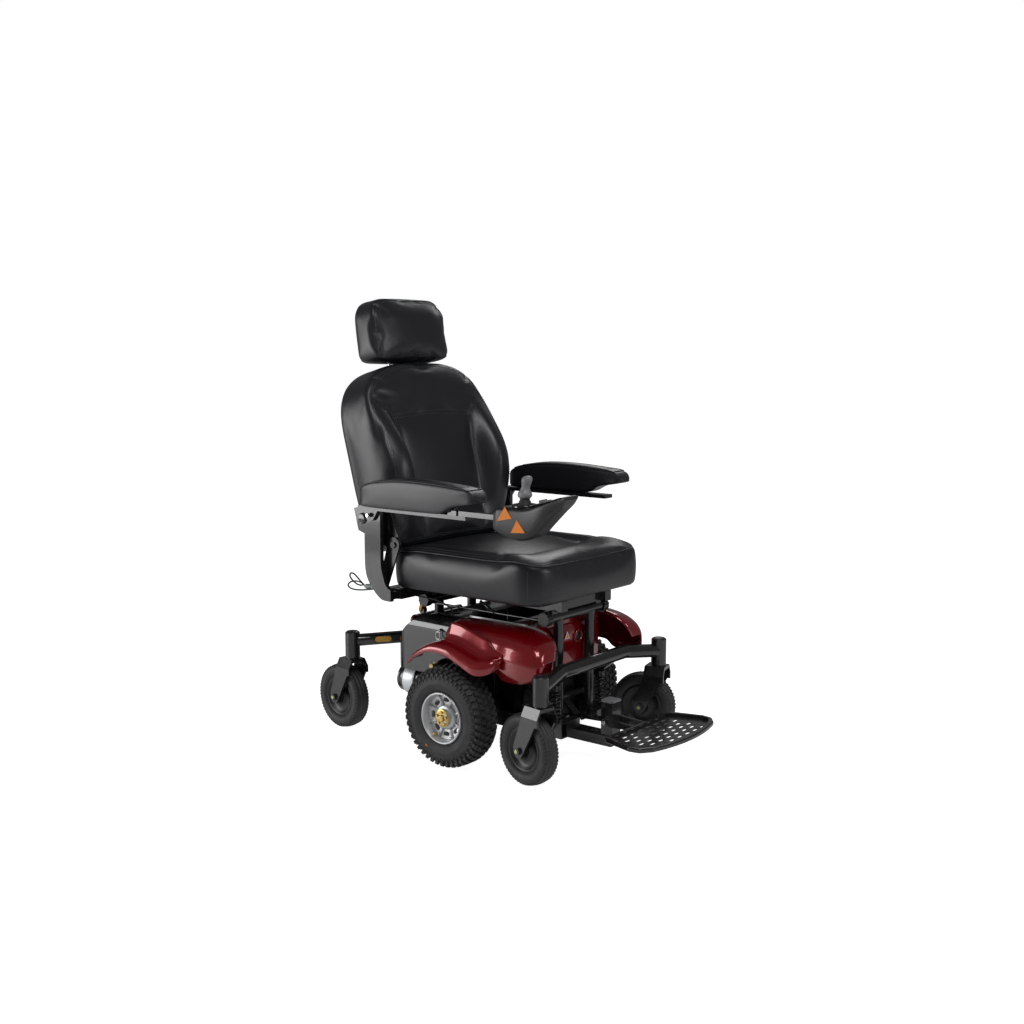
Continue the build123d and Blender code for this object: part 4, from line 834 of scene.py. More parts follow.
def arm_place(side):
    def place(a, b, c):
        def corner(x, y):
            return corner_round(x, y, (29.5, 202), (20, 30))

        x, y, h, inward = round_block(a, b, c, (29.5, 202), 60, corner, (7, 9))
        y += 57
        low, high = through(ARM_BASE, y), through(ARM_TOP, y)
        crown = 3.5 * smooth(inward / 20) * smooth(h / 60)
        waist = 1 - 0.05 * math.sin(math.pi * h / 60)
        return Vector((side * (ARM_X + x * side * waist), y, low + (high - low) * h / 60 + crown))

    return place


def arm_hold(v):
    low, high = through(ARM_BASE, v.y), through(ARM_TOP, v.y)
    t = (v.z - low) / (high - low)
    return 1.0 if t < 0.2 or 0.82 < t < 0.93 else 0.0


class WC_OT_cushions(bpy.types.Operator):
    """Seat, back, headrest and arm pads, each swelled as its own stitched cover"""

    bl_idname = "wheelchair.cushions"
    bl_label = "Cushions"

    def execute(self, context):
        mats = looks()
        soft, sew = context.scene.wc_cushions, context.scene.wc_stitches

        def sewn(obj, body, rows, welts, label):
            tree = surface_of(obj)
            soup = Soup()
            for path, closed in rows:
                stitch_row(soup, tree, path, sew, closed)
            put(soup.object(label + "_stitches", mats["thread"]), body)
            if welts:
                cord = Soup()
                for path, radius in welts:
                    welt(cord, tree, path, radius)
                put(cord.object(label + "_welt", mats["vinyl"]), body)

        seat = soft_piece("seat_cover", (40, 44, 12), seat_place, seat_hold, mats["vinyl"], soft)
        put(seat, "chassis", ["seat_cushion"])
        rows = [(around(seat_place, d, 233), True) for d in (13, 20)]
        for seam in SEAT_SEAMS:
            for shift in (-4.5, 4.5):
                path = []
                for (x0, y0), (x1, y1) in zip(seam, seam[1:]):
                    n = Vector((y0 - y1, x1 - x0)).normalized() * shift
                    path += [(x0 + n.x, y0 + n.y - 1.5, 535), (x1 + n.x, y1 + n.y - 1.5, 535)]
                rows.append((path, False))
        rows += [([(s * 226, -218, z) for z in (440, 470, 500, 518)], False) for s in (-1, 1)]
        sewn(seat, "chassis", rows, [(around(seat_place, 6, 233), 1.7)], "seat")

        back = soft_piece("back_cover", (40, 42, 12), back_place, back_hold, mats["vinyl"], soft, 1.0)
        put(back, "backrest", ["back_cushion"])
        rows = [(around(back_place, d, 232), True) for d in (9, 15)]
        for seam in BACK_SEAMS:
            for shift in (-4, 4):
                path = []
                for (x0, y0), (x1, y1) in zip(seam, seam[1:]):
                    n = Vector((y0 - y1, x1 - x0)).normalized() * shift
                    for x, y in ((x0 + n.x, y0 + n.y), (x1 + n.x, y1 + n.y)):
                        path.append(BACK_ORIGIN + Vector((x, 0, 0)) + BACK_UP * y + BACK_FRONT * 6)
                rows.append((path, False))
        sewn(back, "backrest", rows, [], "back")

        head = soft_piece("head_cover", (30, 22, 12), head_place, head_hold, mats["vinyl"], soft, 1.0)
        put(head, "headrest", ["headrest_pad"])
        rows = [(around(head_place, d, 80), True) for d in (7, 12)]
        sewn(head, "headrest", rows, [(around(head_place, 2.5, 80), 1.3)], "headrest")

        for name, side in SIDES.items():
            place = arm_place(side)
            pad = soft_piece(
                f"arm_cover_{name}", (10, 44, 10), place, arm_hold, mats["vinyl"], soft, 0.7
            )
            put(pad, f"armrest_{name}", [f"arm_pad_{name}"])
            sewn(
                pad, f"armrest_{name}", [(around(place, 8, 29.5), True)], [(around(place, 3, 29.5), 1.5)],
                f"arm_{name}"
            )
        return {"FINISHED"}


# ---------------------------------------------------------------- wheels
def wheel_place(center, turn=0.0):
    return Matrix.Translation(Vector(center)) @ Matrix.Rotation(math.radians(turn), 4, "Z")


def tread_block(soup, place, angle, x, radius, size, height, skew=0.0, lean=0.0, taper=0.82):
    """One rubber block standing on a tyre at an angle round it."""
    out = Vector((0, math.cos(angle), math.sin(angle)))
    fore = Vector((0, -math.sin(angle), math.cos(angle)))
    across = Vector((1, 0, 0))
    up = (out * math.cos(lean) + across * math.sin(lean)).normalized()
    flat = (across * math.cos(lean) - out * math.sin(lean)).normalized()
    base = out * radius + across * x
    w, l = size[0] / 2, size[1] / 2
    corners = [(-w, -l + skew), (w, -l - skew), (w, l - skew), (-w, l + skew)]
    low = [place @ (base + flat * u + fore * v) for u, v in corners]
    high = [place @ (base + flat * u * taper + fore * v * taper + up * height) for u, v in corners]
    soup.add(low + high, [(0, 1, 2, 3), (7, 6, 5, 4), (0, 4, 5, 1), (1, 5, 6, 2), (2, 6, 7, 3), (3, 7, 4, 0)])


DRIVE_CARCASS = [
    (66, -31), (72, -37), (80, -41), (84, -41.6), (86, -42.6), (90, -42.8), (92, -42), (100, -41.8), (108,
    -40.5),
    (115, -37), (120, -31), (123, -22), (124.2, -10), (124.6, 0),
]
CASTER_CARCASS = [
    (57, -17), (60, -21), (66, -23.6), (72, -24.4), (76, -24), (81, -22), (85.5, -17.5), (87.6, -12), (86.4,
    -10.8),
    (86.4, -9.2), (88.8, -8), (89.3, -3), (87.6, -1.6), (87.6, 0),
]


def both_ways(profile):
    return profile + [(r, -x) for r, x in profile[-2::-1]]


class WC_OT_tyres(bpy.types.Operator):
    """Block treads of the two drive tyres and the ribbed caster tyres"""

    bl_idname = "wheelchair.tyres"
    bl_label = "Tyres"

    def execute(self, context):
        mats = looks()
        settings = context.scene.wc_tyres
        count = settings.drive_blocks
        for name, side in SIDES.items():
            place = wheel_place((side * DRIVE_X, 0, DRIVE_Z))
            soup = Soup()
            soup.lathe(both_ways(DRIVE_CARCASS), place, 96)
            put(soup.object(f"drive_carcass_{name}", mats["tyre"]), f"drive_wheel_{name}",
                [f"drive_tyre_{name}"])
            blocks = Soup()
            step = 2 * math.pi / count
            for i in range(count):
                t = i * step
                tread_block(blocks, place, t, 0, 123.6, (15, 11), 5.8, 2.2)
                for s in (-1, 1):
                    tread_block(
                        blocks, place, t + step / 2, s * 17.5, 122.6, (14, 11.5), 6.4, s * 2.4, 0.04 * s
                    )
                    tread_block(blocks, place, t, s * 32, 117.8, (13.5, 10.5), 7.0, s * 2.0, 0.55 * s)
                    tread_block(blocks, place, t + step / 2, s * 39, 110.5, (11, 6.2), 4.0, 0, 1.28 * s)
                    tread_block(blocks, place, t, s * 40.2, 104, (9, 4.4), 2.6, 0, 1.5 * s)
            tread = blocks.object(f"drive_tread_{name}", mats["tyre"], smooth=False, bevel=0.8)
            put(tread, f"drive_wheel_{name}")
            marks = Soup()
            marks.prism(
                plate(9, 3.5, 1.2), place @ frame_at((side * 43.1, 44, -76), (0, 0.86, 0.5), (0, -0.5, 0.86)),
                side * 0.4
            )
            put(marks.object(f"tyre_mark_{name}", mats["orange"]), f"drive_wheel_{name}")
        for key, (x, y, turn) in CASTERS.items():
            t = math.radians(turn)
            place = wheel_place((x - TRAIL * math.sin(t), y + TRAIL * math.cos(t), CASTER_Z), turn)
            soup = Soup()
            soup.lathe(both_ways(CASTER_CARCASS), place, 80)
            n = settings.caster_blocks
            for i in range(n):
                for s in (-1, 1):
                    u = 2 * math.pi * (i + 0.25 * (s + 1)) / n
                    tread_block(soup, place, u, s * 18.6, 83.0, (8.5, 5.2), 2.6, 0, 0.85 * s, 0.75)
            obj = soup.object(f"caster_tread_{key}", mats["caster_rubber"], smooth=False)
            obj.data.shade_smooth()
            put(obj, f"caster_wheel_{key}", [f"caster_tyre_{key}"])
        return {"FINISHED"}


class WC_OT_wheel_trim(bpy.types.Operator):
    """Hub plates, bolts, valves, caster washers and axle caps"""

    bl_idname = "wheelchair.wheel_trim"
    bl_label = "Wheel trim"

    def execute(self, context):
        mats = looks()
        for name, side in SIDES.items():
            body = f"drive_wheel_{name}"
            out = Matrix.Rotation(0 if side > 0 else math.pi, 4, "Z")
            place = Matrix.Translation(Vector((side * DRIVE_X, 0, DRIVE_Z))) @ out
            gold = Soup()
            gold.lathe(
                [(23, 31.1), (23, 33.2), (21.5, 34), (9, 34), (8.6, 39.2), (7.6, 40), (0.1, 40.4)], place, 40
            )
            for i in range(5):
                t = 2 * math.pi * i / 5 + 0.3
                spot = place @ frame_at((34, 15.5 * math.cos(t), 15.5 * math.sin(t)), (0, 1, 0), (0, 0, 1))
                gold.prism(ring(4.1, 6), spot, 4.2, 0.92)
            put(gold.object(f"hub_plate_{name}", mats["gold"], bevel=0.4), body)
            bolts = Soup()
            ribs = Soup()
            for i in range(8):
                t = 2 * math.pi * (i + 0.5) / 8
                spot = place @ frame_at((18.0, 52 * math.cos(t), 52 * math.sin(t)), (0, 1, 0), (0, 0, 1))
                bolts.prism(ring(4.2, 6), spot, 3.6, 0.94)
                bolts.prism(ring(2.2, 8), spot, 7.5, 0.9)
                a = place @ Vector((15.0, 27 * math.cos(t), 27 * math.sin(t)))
                b = place @ Vector((19.0, 57 * math.cos(t), 57 * math.sin(t)))
                ribs.tube([a, a.lerp(b, 0.5), b], lambda u: 4.6 - 1.2 * u, 10)
            put(bolts.object(f"rim_bolts_{name}", mats["steel"], bevel=0.3), body)
            ribs.lathe(
                [
                    (65.8, 37.0), (65.4, 38.6), (63.6, 39.2), (61.4, 38.4), (60.6, 36.6), (57.6, 22),
                    (57, 18.5)
                ],
                place, 72
            )
            ribs.lathe([(31, 15), (31, 21), (29.5, 23), (26, 24.6), (22.5, 25)], place, 48)
            put(ribs.object(f"rim_face_{name}", mats["cast_silver"]), body)
            valve = Soup()
            t = 4.2
            p = place @ Vector((24, 55 * math.cos(t), 55 * math.sin(t)))
            q = place @ Vector((38, 50 * math.cos(t), 50 * math.sin(t)))
            valve.tube([p, p.lerp(q, 0.6), q], 2.4, 10)
            put(valve.object(f"valve_{name}", mats["yellow"]), body)
        for key, (x, y, turn) in CASTERS.items():
            place = wheel_place((x, y, 0), turn)
            up = Matrix.Rotation(-math.pi / 2, 4, "Y")
            zinc = Soup()
            zinc.lathe([(11, 203.4), (16.6, 203.4), (16.6, 205.2), (11, 205.6)], place @ up, 32)
            for s in (-1, 1):
                spot = place @ frame_at((s * 40.2, TRAIL, CASTER_Z), (0, 1, 0), (0, 0, s))
                zinc.prism(ring(5.6, 6), spot, 2.2, 0.9)
            put(
                zinc.object(f"caster_zinc_{key}", mats["zinc"], bevel=0.3), f"caster_fork_{key}",
            )
            caps = Soup()
            caps.lathe(
                [(0.1, 280.6), (9, 280.2), (16, 278.6), (19.4, 275.8), (20.2, 274)],
                wheel_place((x, y, 0), 0) @ up, 32
            )
            body = "front_beam" if key.startswith("front") else "rear_beam"
            put(caps.object(f"stem_cap_{key}", mats["black_plastic"]), body)
            discs = Soup()
            wheel = place @ Matrix.Translation(Vector((0, TRAIL, CASTER_Z)))
            for s in (-1, 1):
                discs.lathe([
                    (r, s * h) for r,
                    h in ((56.5, 17), (53, 19.2), (49, 18), (44, 11), (30, 9), (22, 13), (15, 22))
                ],
                            wheel, 48)
            put(discs.object(f"caster_disc_{key}", mats["black_plastic"]), f"caster_wheel_{key}")
        return {"FINISHED"}


# ---------------------------------------------------------------- red covers
LIP_LOW = [(-150, 280), (-140, 266), (-122, 257), (-96, 254), (-70, 263), (-42, 276), (-10, 288), (22, 293),
(55, 291),
           (86, 280), (110, 266), (131, 249)]
LIP_TALL = [(-150, 8), (-138, 24), (-110, 30), (-60, 26), (0, 19), (50, 16), (100, 11), (131, 4)]
LIP_OUT = [(-150, 250), (-138, 272), (-110, 286), (-60, 290), (60, 291), (110, 288), (131, 284)]
HOOD_TOP = [(-258, 292), (-252, 318), (-236, 337), (-206, 351), (-160, 359), (-100, 361), (38, 360)]
HOOD_LOW = [
    (-258, 288), (-252, 264), (-238, 250), (-210, 242), (-170, 239), (-150, 243), (-130, 258), (-90, 262),
    (38, 296)
]
HOOD_OUT = [(-258, 214), (-252, 225), (-236, 234), (-200, 240), (-140, 241), (38, 240)]
HOOD_IN = [(-258, 170), (-252, 156), (-236, 146), (-200, 141), (38, 141)]


def hood_rows(side):
    rows = []
    count = 56
    for i in range(count + 1):
        u = i / count
        y = -258 + 296 * (u**1.5)
        low, high = through(HOOD_LOW, y), through(HOOD_TOP, y)
        out, inn = through(HOOD_OUT, y), through(HOOD_IN, y)
        row = []
        for k in range(29):
            t = math.pi / 2 * k / 28
            x = inn + (out - inn) * math.sin(t) ** 0.62
            z = low + (high - low) * math.cos(t) ** 0.55
            row.append((side * x, y, z))
        row.append((side * (out - 4), y, low - 1))
        rows.append(row)
    return rows


def fender_rows(side, lip):
    rows = []
    for i in range(61):
        y = 131 - 281 * i / 60
        low, tall, out = through(LIP_LOW, y), through(LIP_TALL, y), through(LIP_OUT, y) + lip - 291
        rise = smooth((46 - y) / 30)
        inner = 212 + (out - 212) * smooth((y - 96) / 40) * 0.55
        shelf = [
            (out - 7, -0.5), (out - 1.5, -1.5), (out, 1), (out + 0.4, 0.45 * tall), (out - 1.2, 0.8 * tall),
            (out - 6, tall + 1.5), (out - 14, tall + 4),
        ]
        wall = [(262, tall + 8), (252, tall + 15), (245, tall + 26), (241.5, tall + 40), (238.5, tall + 54)]
        free = [(262, tall + 5), (248, tall + 6), (236, tall + 6.5), (222, tall + 6), (inner, tall + 4)]
        row = [(side * x, y, low + h) for x, h in shelf]
        drop = 1 - 0.72 * smooth((-90 - y) / 55)
        for (xa, ha), (xb, hb) in zip(wall, free):
            ha = tall + 4 + (ha - tall - 4) * drop
            x = xb + (xa - xb) * rise
            row.append((side * min(x, out - 8), y, low + hb + (ha - hb) * rise))
        rows.append(row)
    return rows


class WC_OT_covers(bpy.types.Operator):
    """Glossy red side covers with their fenders, and trim on the middle panel"""

    bl_idname = "wheelchair.covers"
    bl_label = "Covers"

    def execute(self, context):
        mats = looks()
        settings = context.scene.wc_covers
        for name, side in SIDES.items():
            hood = Soup()
            hood.grid(hood_rows(side))
            obj = hood.object(f"hood_{name}", mats["red"])
            put(obj, "chassis", [f"side_cover_{name}"])
            wall = obj.modifiers.new("wall", "SOLIDIFY")
            wall.thickness = 0.003
            wall.offset = 0
            fender = Soup()
            fender.grid(fender_rows(side, settings.lip / MM))
            obj = fender.object(f"fender_{name}", mats["red"], sub=1)
            wall = obj.modifiers.new("wall", "SOLIDIFY")
            wall.thickness = 0.0025
            wall.offset = 0
            put(obj, "chassis")
            # painted highlight: a thin light silver tube on the hood's top inner edge stands in for the
            # bright reflection along that edge
            edge = Soup()
            edge.tube([(side * 141, y, 361.5) for y in range(-150, 41, 10)], 1.6, 8)
            put(edge.object(f"cover_edge_{name}", mats["band"]), "chassis")
        trim = Soup()
        rows = []
        for i in range(25):
            x = -139 + 278 * i / 24
            dome = 1 - (x / 139) ** 4
            rows.append([(x, y - 6 * dome, z) for y, z in (
                (-168, 232), (-170, 262), (-171, 300), (-170, 330), (-164, 346), (-150, 356), (-130, 360.5),
                (-102, 361))])
        trim.grid(rows)
        obj = trim.object("front_panel", mats["red"], sub=1)
        put(obj, "chassis")
        socket = Soup()
        for x in (-60, 36):
            place = frame_at((x, -176.5, 309), (1, 0, 0), (0, 0, 1))
            turned = place @ Matrix.Rotation(math.pi / 2, 4, "Y")
            socket.lathe([(19, 2), (18, -4), (15, -6), (12.5, -5), (12, 4)], turned, 32)
        put(socket.object("socket_rings", mats["red"]), "chassis")
        dark = Soup()
        for x in (-60, 36):
            dark.prism(ring(12.4, 24), frame_at((x, -177, 309), (1, 0, 0), (0, 0, 1)), 2)
        put(dark.object("sockets", mats["black_plastic"]), "chassis")
        label = Soup()
        label.prism([(-11, -9), (11, -9), (0, 10)], frame_at((-12, -178.5, 318), (1, 0, 0), (0, 0, 1)), 1)
        put(label.object("panel_label", mats["white"], smooth=False), "chassis")
        mark = Soup()
        mark.prism([(-7, -6), (7, -6), (0, 6)], frame_at((-12, -179.7, 317), (1, 0, 0), (0, 0, 1)), 0.6)
        put(mark.object("panel_label_mark", mats["orange"], smooth=False), "chassis")
        return {"FINISHED"}


# ---------------------------------------------------------------- small pieces
class WC_OT_details(bpy.types.Operator):
    """Coil springs, motor bands, reflectors, pull ring, knobs, labels and bolts"""

    bl_idname = "wheelchair.details"
    bl_label = "Details"

    def execute(self, context):
        mats = looks()
        for name, side in SIDES.items():
            coil = Soup()
            turns, steps = 7, 140
            path = []
            for i in range(steps + 1):
                t = 2 * math.pi * turns * i / steps
                path.append(
                    (
                        side * SPRING_X + COIL_RADIUS * math.cos(t), SPRING_Y + COIL_RADIUS * math.sin(t),
                        120.5 + 71 * i / steps
                    )
                )
            coil.tube(path, 2.3, 8)
            coil.tube([(side * SPRING_X, SPRING_Y, 119), (side * SPRING_X, SPRING_Y, 193.5)], 4.5, 16)
            obj = coil.object(f"spring_{name}", mats["black_paint"])
            put(obj, "chassis", ["front_springs"])
            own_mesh(obj)

            band = Soup()
            place = Matrix.Translation(
                Vector((side * MOTOR_X, 0, MOTOR_Z))
            ) @ Matrix.Rotation(math.pi / 2, 4, "Z")
            band.lathe([(43.2, 200), (43.8, 202), (43.8, 236), (43.2, 239), (38, 239.4)], place, 56)
            put(band.object(f"motor_band_{name}", mats["band"]), "chassis")
            cap = Soup()
            cap.lathe([(38.4, 240), (38.6, 256), (36, 261), (28, 262.6), (0.1, 262.8)], place, 48)
            put(cap.object(f"motor_cap_{name}", mats["gloss_black"]), "chassis")
            ring_bolts = Soup()
            for i in range(4):
                t = math.pi / 4 + i * math.pi / 2
                spot = place @ frame_at((262.6, 29 * math.cos(t), 29 * math.sin(t)), (0, 1, 0), (0, 0, 1))
                ring_bolts.prism(ring(3.4, 6), spot, 2.4, 0.92)
            put(ring_bolts.object(f"motor_bolts_{name}", mats["steel"], bevel=0.3), "chassis")
            nut = Soup()
            nut.tube([(side * 214, 92, 236), (side * 236, 92, 236)], 7, 10)
            nut.prism(ring(10, 6), frame_at((side * 214, 92, 236), (0, 1, 0), (0, 0, 1)), side * 8, 0.95)
            put(nut.object(f"lever_nut_{name}", mats["brass"], bevel=0.5), "chassis")

            glow = Soup()
            along = Vector((side * 0.764, 0.646, 0))
            face = Vector((side * 0.646, -0.764, 0))
            spot = frame_at(Vector((side * 138, 363, 256)) + face * 16.4, along, (0, 0, 1))
            glow.prism(plate(46, 15, 7), spot, side * 3.0, 0.96)
            put(glow.object(f"reflector_{name}", mats["yellow"], bevel=0.5), "rear_beam")

            knob = Soup()
            place = Matrix.Translation(Vector((side * 268, 296, 610)))
            knob.lathe(
                [(0.1, -13), (11, -12.6), (13, -10), (13.4, 0), (13, 10), (11, 12.6), (0.1, 13)], place, 28
            )
            for i in range(12):
                tread_block(knob, place, 2 * math.pi * i / 12, 0, 12.6, (20, 3.6), 2.2)
            put(knob.object(f"arm_knob_{name}", mats["gloss_black"], bevel=0.5), f"arm_post_{name}")
            # painted highlight: a thin steel wire on one vertical corner of the black arm post stands in for
            # the light caught along that edge
            edge = Soup()
            edge.tube([(side * 261.4, 246, z) for z in (430, 500, 560, 640)], 0.9, 6)
            put(edge.object(f"post_edge_{name}", mats["steel"]), f"arm_post_{name}")
            screw = Soup()
            screw.prism(ring(6.5, 6), frame_at((side * 289.5, 262, 622), (0, 1, 0), (0, 0, side)), 3.5, 0.92)
            put(
                screw.object(f"arm_screw_{name}", mats["steel"], bevel=0.4), f"arm_post_{name}",
            )

            grips = Soup()
            for y in (-192.5, 215):
                place = Matrix.Translation(Vector((side * 121, y, 380)))
                for i in range(14):
                    tread_block(grips, place, 2 * math.pi * i / 14, 0, 17.2, (19, 4.2), 2.0)
            put(grips.object(f"knob_grips_{name}", mats["gloss_black"], bevel=0.5), "chassis")

        tip = Soup()
        tip.prism(plate(20, 40, 8), frame_at((-94, 250, 357), (1, 0, 0), (0, -0.35, 0.94)), 5)
        tip.prism(plate(20, 40, 8), frame_at((-94, 250, 357), (1, 0, 0), (0, -0.35, 0.94)), -5)
        put(tip.object("release_tip", mats["yellow"], bevel=1.5), "seat_release_lever")

        pull = Soup()
        loop = [
            (
                -205, 96 + 8 * math.cos(t), 312 + 10 * math.sin(t)
            ) for t in (2 * math.pi * i / 24 for i in range(24))
        ]
        pull.tube(loop, 1.2, 8, closed=True)
        pull.tube([(-192, 96, 326), (-205, 96, 322)], 3.2, 10)
        put(pull.object("pull_ring", mats["steel"]), "chassis")

        rail = Soup()
        rail.tube([(-112, y, 372) for y in range(-170, 201, 10)], 3.0, 8)
        rail.tube([(-112, -20, 373), (-112, 30, 397)], 4.0, 8)
        rail.tube([(112, y, 372) for y in range(-170, 201, 10)], 3.0, 8)
        put(rail.object("stand_rods", mats["black_paint"]), "chassis")

        bolts = Soup()
        for x, y, z in ((-24, -310, 114), (24, -310, 114)):
            s = 1 if x > 0 else -1
            bolts.prism(ring(6.4, 6), frame_at((x * 1.3, y, z), (0, 1, 0), (0, 0, s)), 3.5, 0.92)
        put(bolts.object("foot_bolts", mats["steel"], bevel=0.4), "chassis")
        cap = Soup()
        cap.prism(plate(43, 39, 5), frame_at((0, -309, 164), (1, 0, 0), (0, 1, 0)), 5.5, 0.94)
        put(cap.object("foot_post_cap", mats["stick_grey"], bevel=1.2), "chassis")

        tri = Soup()
        for points in (((-215, 653), (-239, 688), (-260, 662)), ((-257, 629), (-275, 660), (-299, 632))):
            flat = [(y, z) for y, z in points]
            cy, cz = sum(p[0] for p in flat) / 3, sum(p[1] for p in flat) / 3
            place = frame_at((-339.2, cy, cz), (0, 1, 0), (0, 0, 1))
            tri.prism([(y - cy, z - cz) for y, z in flat], place, -0.8, 1.0)
        put(tri.object("control_marks", mats["orange"], smooth=False), "armrest_right")
        return {"FINISHED"}


class WC_OT_control(bpy.types.Operator):
    """Rounded joystick unit with its thumb-shaped stick and bellows"""

    bl_idname = "wheelchair.control"
    bl_label = "Control unit"

    def execute(self, context):
        mats = looks()
        top = [(-406, 722), (-400, 722.4), (-325, 698), (-298, 690), (-240, 688), (-212, 685), (-200, 678)]
        low = [
            (-406, 714), (-398, 700), (-377, 681), (-342, 648), (-316, 623), (-272, 609), (-228, 617),
            (-200, 626)
        ]
        case = Soup()
        rows = []
        for i in range(41):
            y = -200 - 206 * (1 - math.cos(math.pi * i / 40)) / 2
            z0, z1 = through(low, y), through(top, y)
            half = 33 * (1 - 0.24 * smooth((-y - 330) / 80)) * (1 - 0.12 * smooth((y + 215) / 18))
            mid, tall = (z0 + z1) / 2, max(2.0, (z1 - z0) / 2)
            row = []
            for k in range(32):
                t = 2 * math.pi * k / 32
                c, s = math.cos(t), math.sin(t)
                x = half * math.copysign(abs(c) ** 0.42, c)
                z = tall * math.copysign(abs(s) ** (0.34 if s > 0 else 0.6), s)
                row.append((CONTROL_X + x, y, mid + z))
            rows.append(row)
        case.grid(rows, close_columns=True)
        for row in (rows[0], rows[-1]):
            case.add(row, [list(range(len(row)))])
        put(case.object("control_body", mats["black_plastic"], bevel=0.5), "armrest_right",
            ["control_case"])
        stick = Soup()
        place = Matrix.Translation(
            Vector((CONTROL_X, STICK_Y, GIMBAL_Z))
        ) @ Matrix.Rotation(-math.pi / 2, 4, "Y")
        stick.lathe([(0.1, 30), (12, 31), (16.5, 35), (17.6, 40), (16, 46), (11.6, 50.5), (9.6, 55), (9.8,
        62),
                     (11.8, 70), (12.6, 76), (11, 81), (6, 84), (0.1, 84.6)], place, 36)
        obj = stick.object("thumb_stick", mats["stick_grey"], sub=1)
        for v in obj.data.vertices:
            h = v.co.z - 0.724
            if h > 0:
                v.co.y -= h * 0.22
                v.co.x = CONTROL_X * MM + (v.co.x - CONTROL_X * MM) * (1 + 0.12 * smooth(h / 0.02))
        put(obj, "joystick", ["joystick_stick"])
        boot = Soup()
        boot.lathe([(12, 33), (12.6, 30), (10.6, 27.6), (15, 25), (13.4, 22), (18, 18.6), (16, 15.6), (21.5,
        11.6), (20, 9),
                    (23, 7)], place, 40)
        put(boot.object("stick_bellows", mats["boot"], sub=1), "joystick", ["joystick_boot"])
        collar = Soup()
        collar.lathe([(30, 12), (30, 16), (28, 18), (24.5, 18), (24, 12)], place, 40)
        put(collar.object("stick_collar", mats["gloss_black"]), "armrest_right")
        lights = Soup()
        slope = math.atan2(718.7 - 689.6, 106)
        for i in range(5):
            d = 92
            spot = ((CONTROL_X - 14 + i * 7), -292 - d * math.cos(slope), 689.6 + d * math.sin(slope) + 2.4)
            lights.prism(
                plate(4.2, 7, 1.4), frame_at(spot, (1, 0, 0), (0, math.cos(slope), -math.sin(slope))), 1.0
            )
        put(lights.object("charge_lights", mats["key_grey"], smooth=False), "armrest_right")
        return {"FINISHED"}


# ---------------------------------------------------------------- lead, finishes and stage
class WC_OT_lead(bpy.types.Operator):
    """Joystick lead with its two loops and the connector on it"""

    bl_idname = "wheelchair.lead"
    bl_label = "Lead"

    def execute(self, context):
        mats = looks()
        diameter = context.scene.wc_lead.diameter
        curve = bpy.data.curves.new("joystick_lead_line", "CURVE")
        curve.dimensions = "3D"
        spline = curve.splines.new("NURBS")
        spline.points.add(len(LEAD_ROUTE) - 1)
        for point, (x, y, z) in zip(spline.points, LEAD_ROUTE):
            point.co = (x * MM, y * MM, z * MM, 1)
        spline.order_u = 3
        spline.use_endpoint_u = True
        spline.resolution_u = 8
        curve.bevel_depth = diameter / 2
        curve.bevel_resolution = 3
        curve.use_fill_caps = True
        curve.materials.append(mats["lead"])
        lead = bpy.data.objects.new("joystick_lead_cord", curve)
        context.scene.collection.objects.link(lead)
        put(lead, "chassis", ["joystick_lead"])
        a, b = Vector(LEAD_ROUTE[PLUG_START]), Vector(LEAD_ROUTE[PLUG_END])
        place = frame_at(a, b - a, (0, 0, 1))
        long = (b - a).length
        grey = Soup()
        grey.lathe([
            (2.4, long - 28), (6.6, long - 28), (7.2, long - 26), (7.2, long - 8), (6.4, long - 4), (4, long),
            (2.4, long)
        ],
                   place, 24)
        plug = put(
            grey.object("connector_shell", mats["plug_grey"]), "chassis", ["lead_connector"]
        )
        band = Soup()
        band.lathe([(2.4, long - 34), (7.7, long - 34), (7.7, long - 27.6), (2.4, long - 27.6)], place, 24)
        ring_piece = put(band.object("connector_band", mats["white"], bevel=0.4), "chassis")
        boot = Soup()
        boot.lathe(
            [(2.4, 0), (4.2, 0.2), (6.6, 10), (7.4, 12), (7.4, long - 34), (2.4, long - 34)], place, 24
        )
        sleeve = put(boot.object("connector_boot", mats["black_plastic"]), "chassis")
        graph = context.evaluated_depsgraph_get()
        curve.bevel_depth = 0
        bpy.context.view_layer.update()
        bare = lead.evaluated_get(graph).to_mesh()
        lead.evaluated_get(graph).to_mesh_clear()
        curve.bevel_depth = diameter / 2
        [v * MM for v in LEAD_ROUTE[0]]
        return {"FINISHED"}


FINISHES = {
    "cast_silver": ["drive_rim_left", "drive_rim_right"],
    "black_plastic": ["power_module", "batteries", "end_knobs", "control_panel", "recline_lever",
    "control_case",
                      *[f"caster_rim_{k}" for k in CASTERS]],
    "black_paint": ["front_beam", "rear_beam", "chassis_frame", "seat_tower", "seat_frame", "backrest_hinges",
    "back_frame",
                    "arm_post_left", "arm_post_right", "arm_bar_left", "arm_bar_right", "footrest_bracket",
                    "seat_release_lever", "freewheel_lever_left", "freewheel_lever_right", "footplate",
                    "gearmotors",
                    *[f"caster_fork_{k}" for k in CASTERS]],
    "dark_red": ["rear_hoop"],
    "red": ["front_cover"],
    "chrome": ["headrest_posts"],
    "gloss_black": ["rear_cover", "control_rod"],
    "key_grey": ["power_button", "horn_button", "speed_dial"],
    "stick_grey": ["joystick_gimbal"],
}


class WC_OT_finishes(bpy.types.Operator):
    """Finishes on the pieces that come straight from the CAD part"""

    bl_idname = "wheelchair.finishes"
    bl_label = "Finishes"

    def execute(self, context):
        mats = looks()
        nodes = {o["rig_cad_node"]: o for o in bpy.data.objects if "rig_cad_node" in o}
        for finish, names in FINISHES.items():
            for name in names:
                mesh = nodes[name].data
                mesh.materials.clear()
                mesh.materials.append(mats[finish])
        return {"FINISHED"}


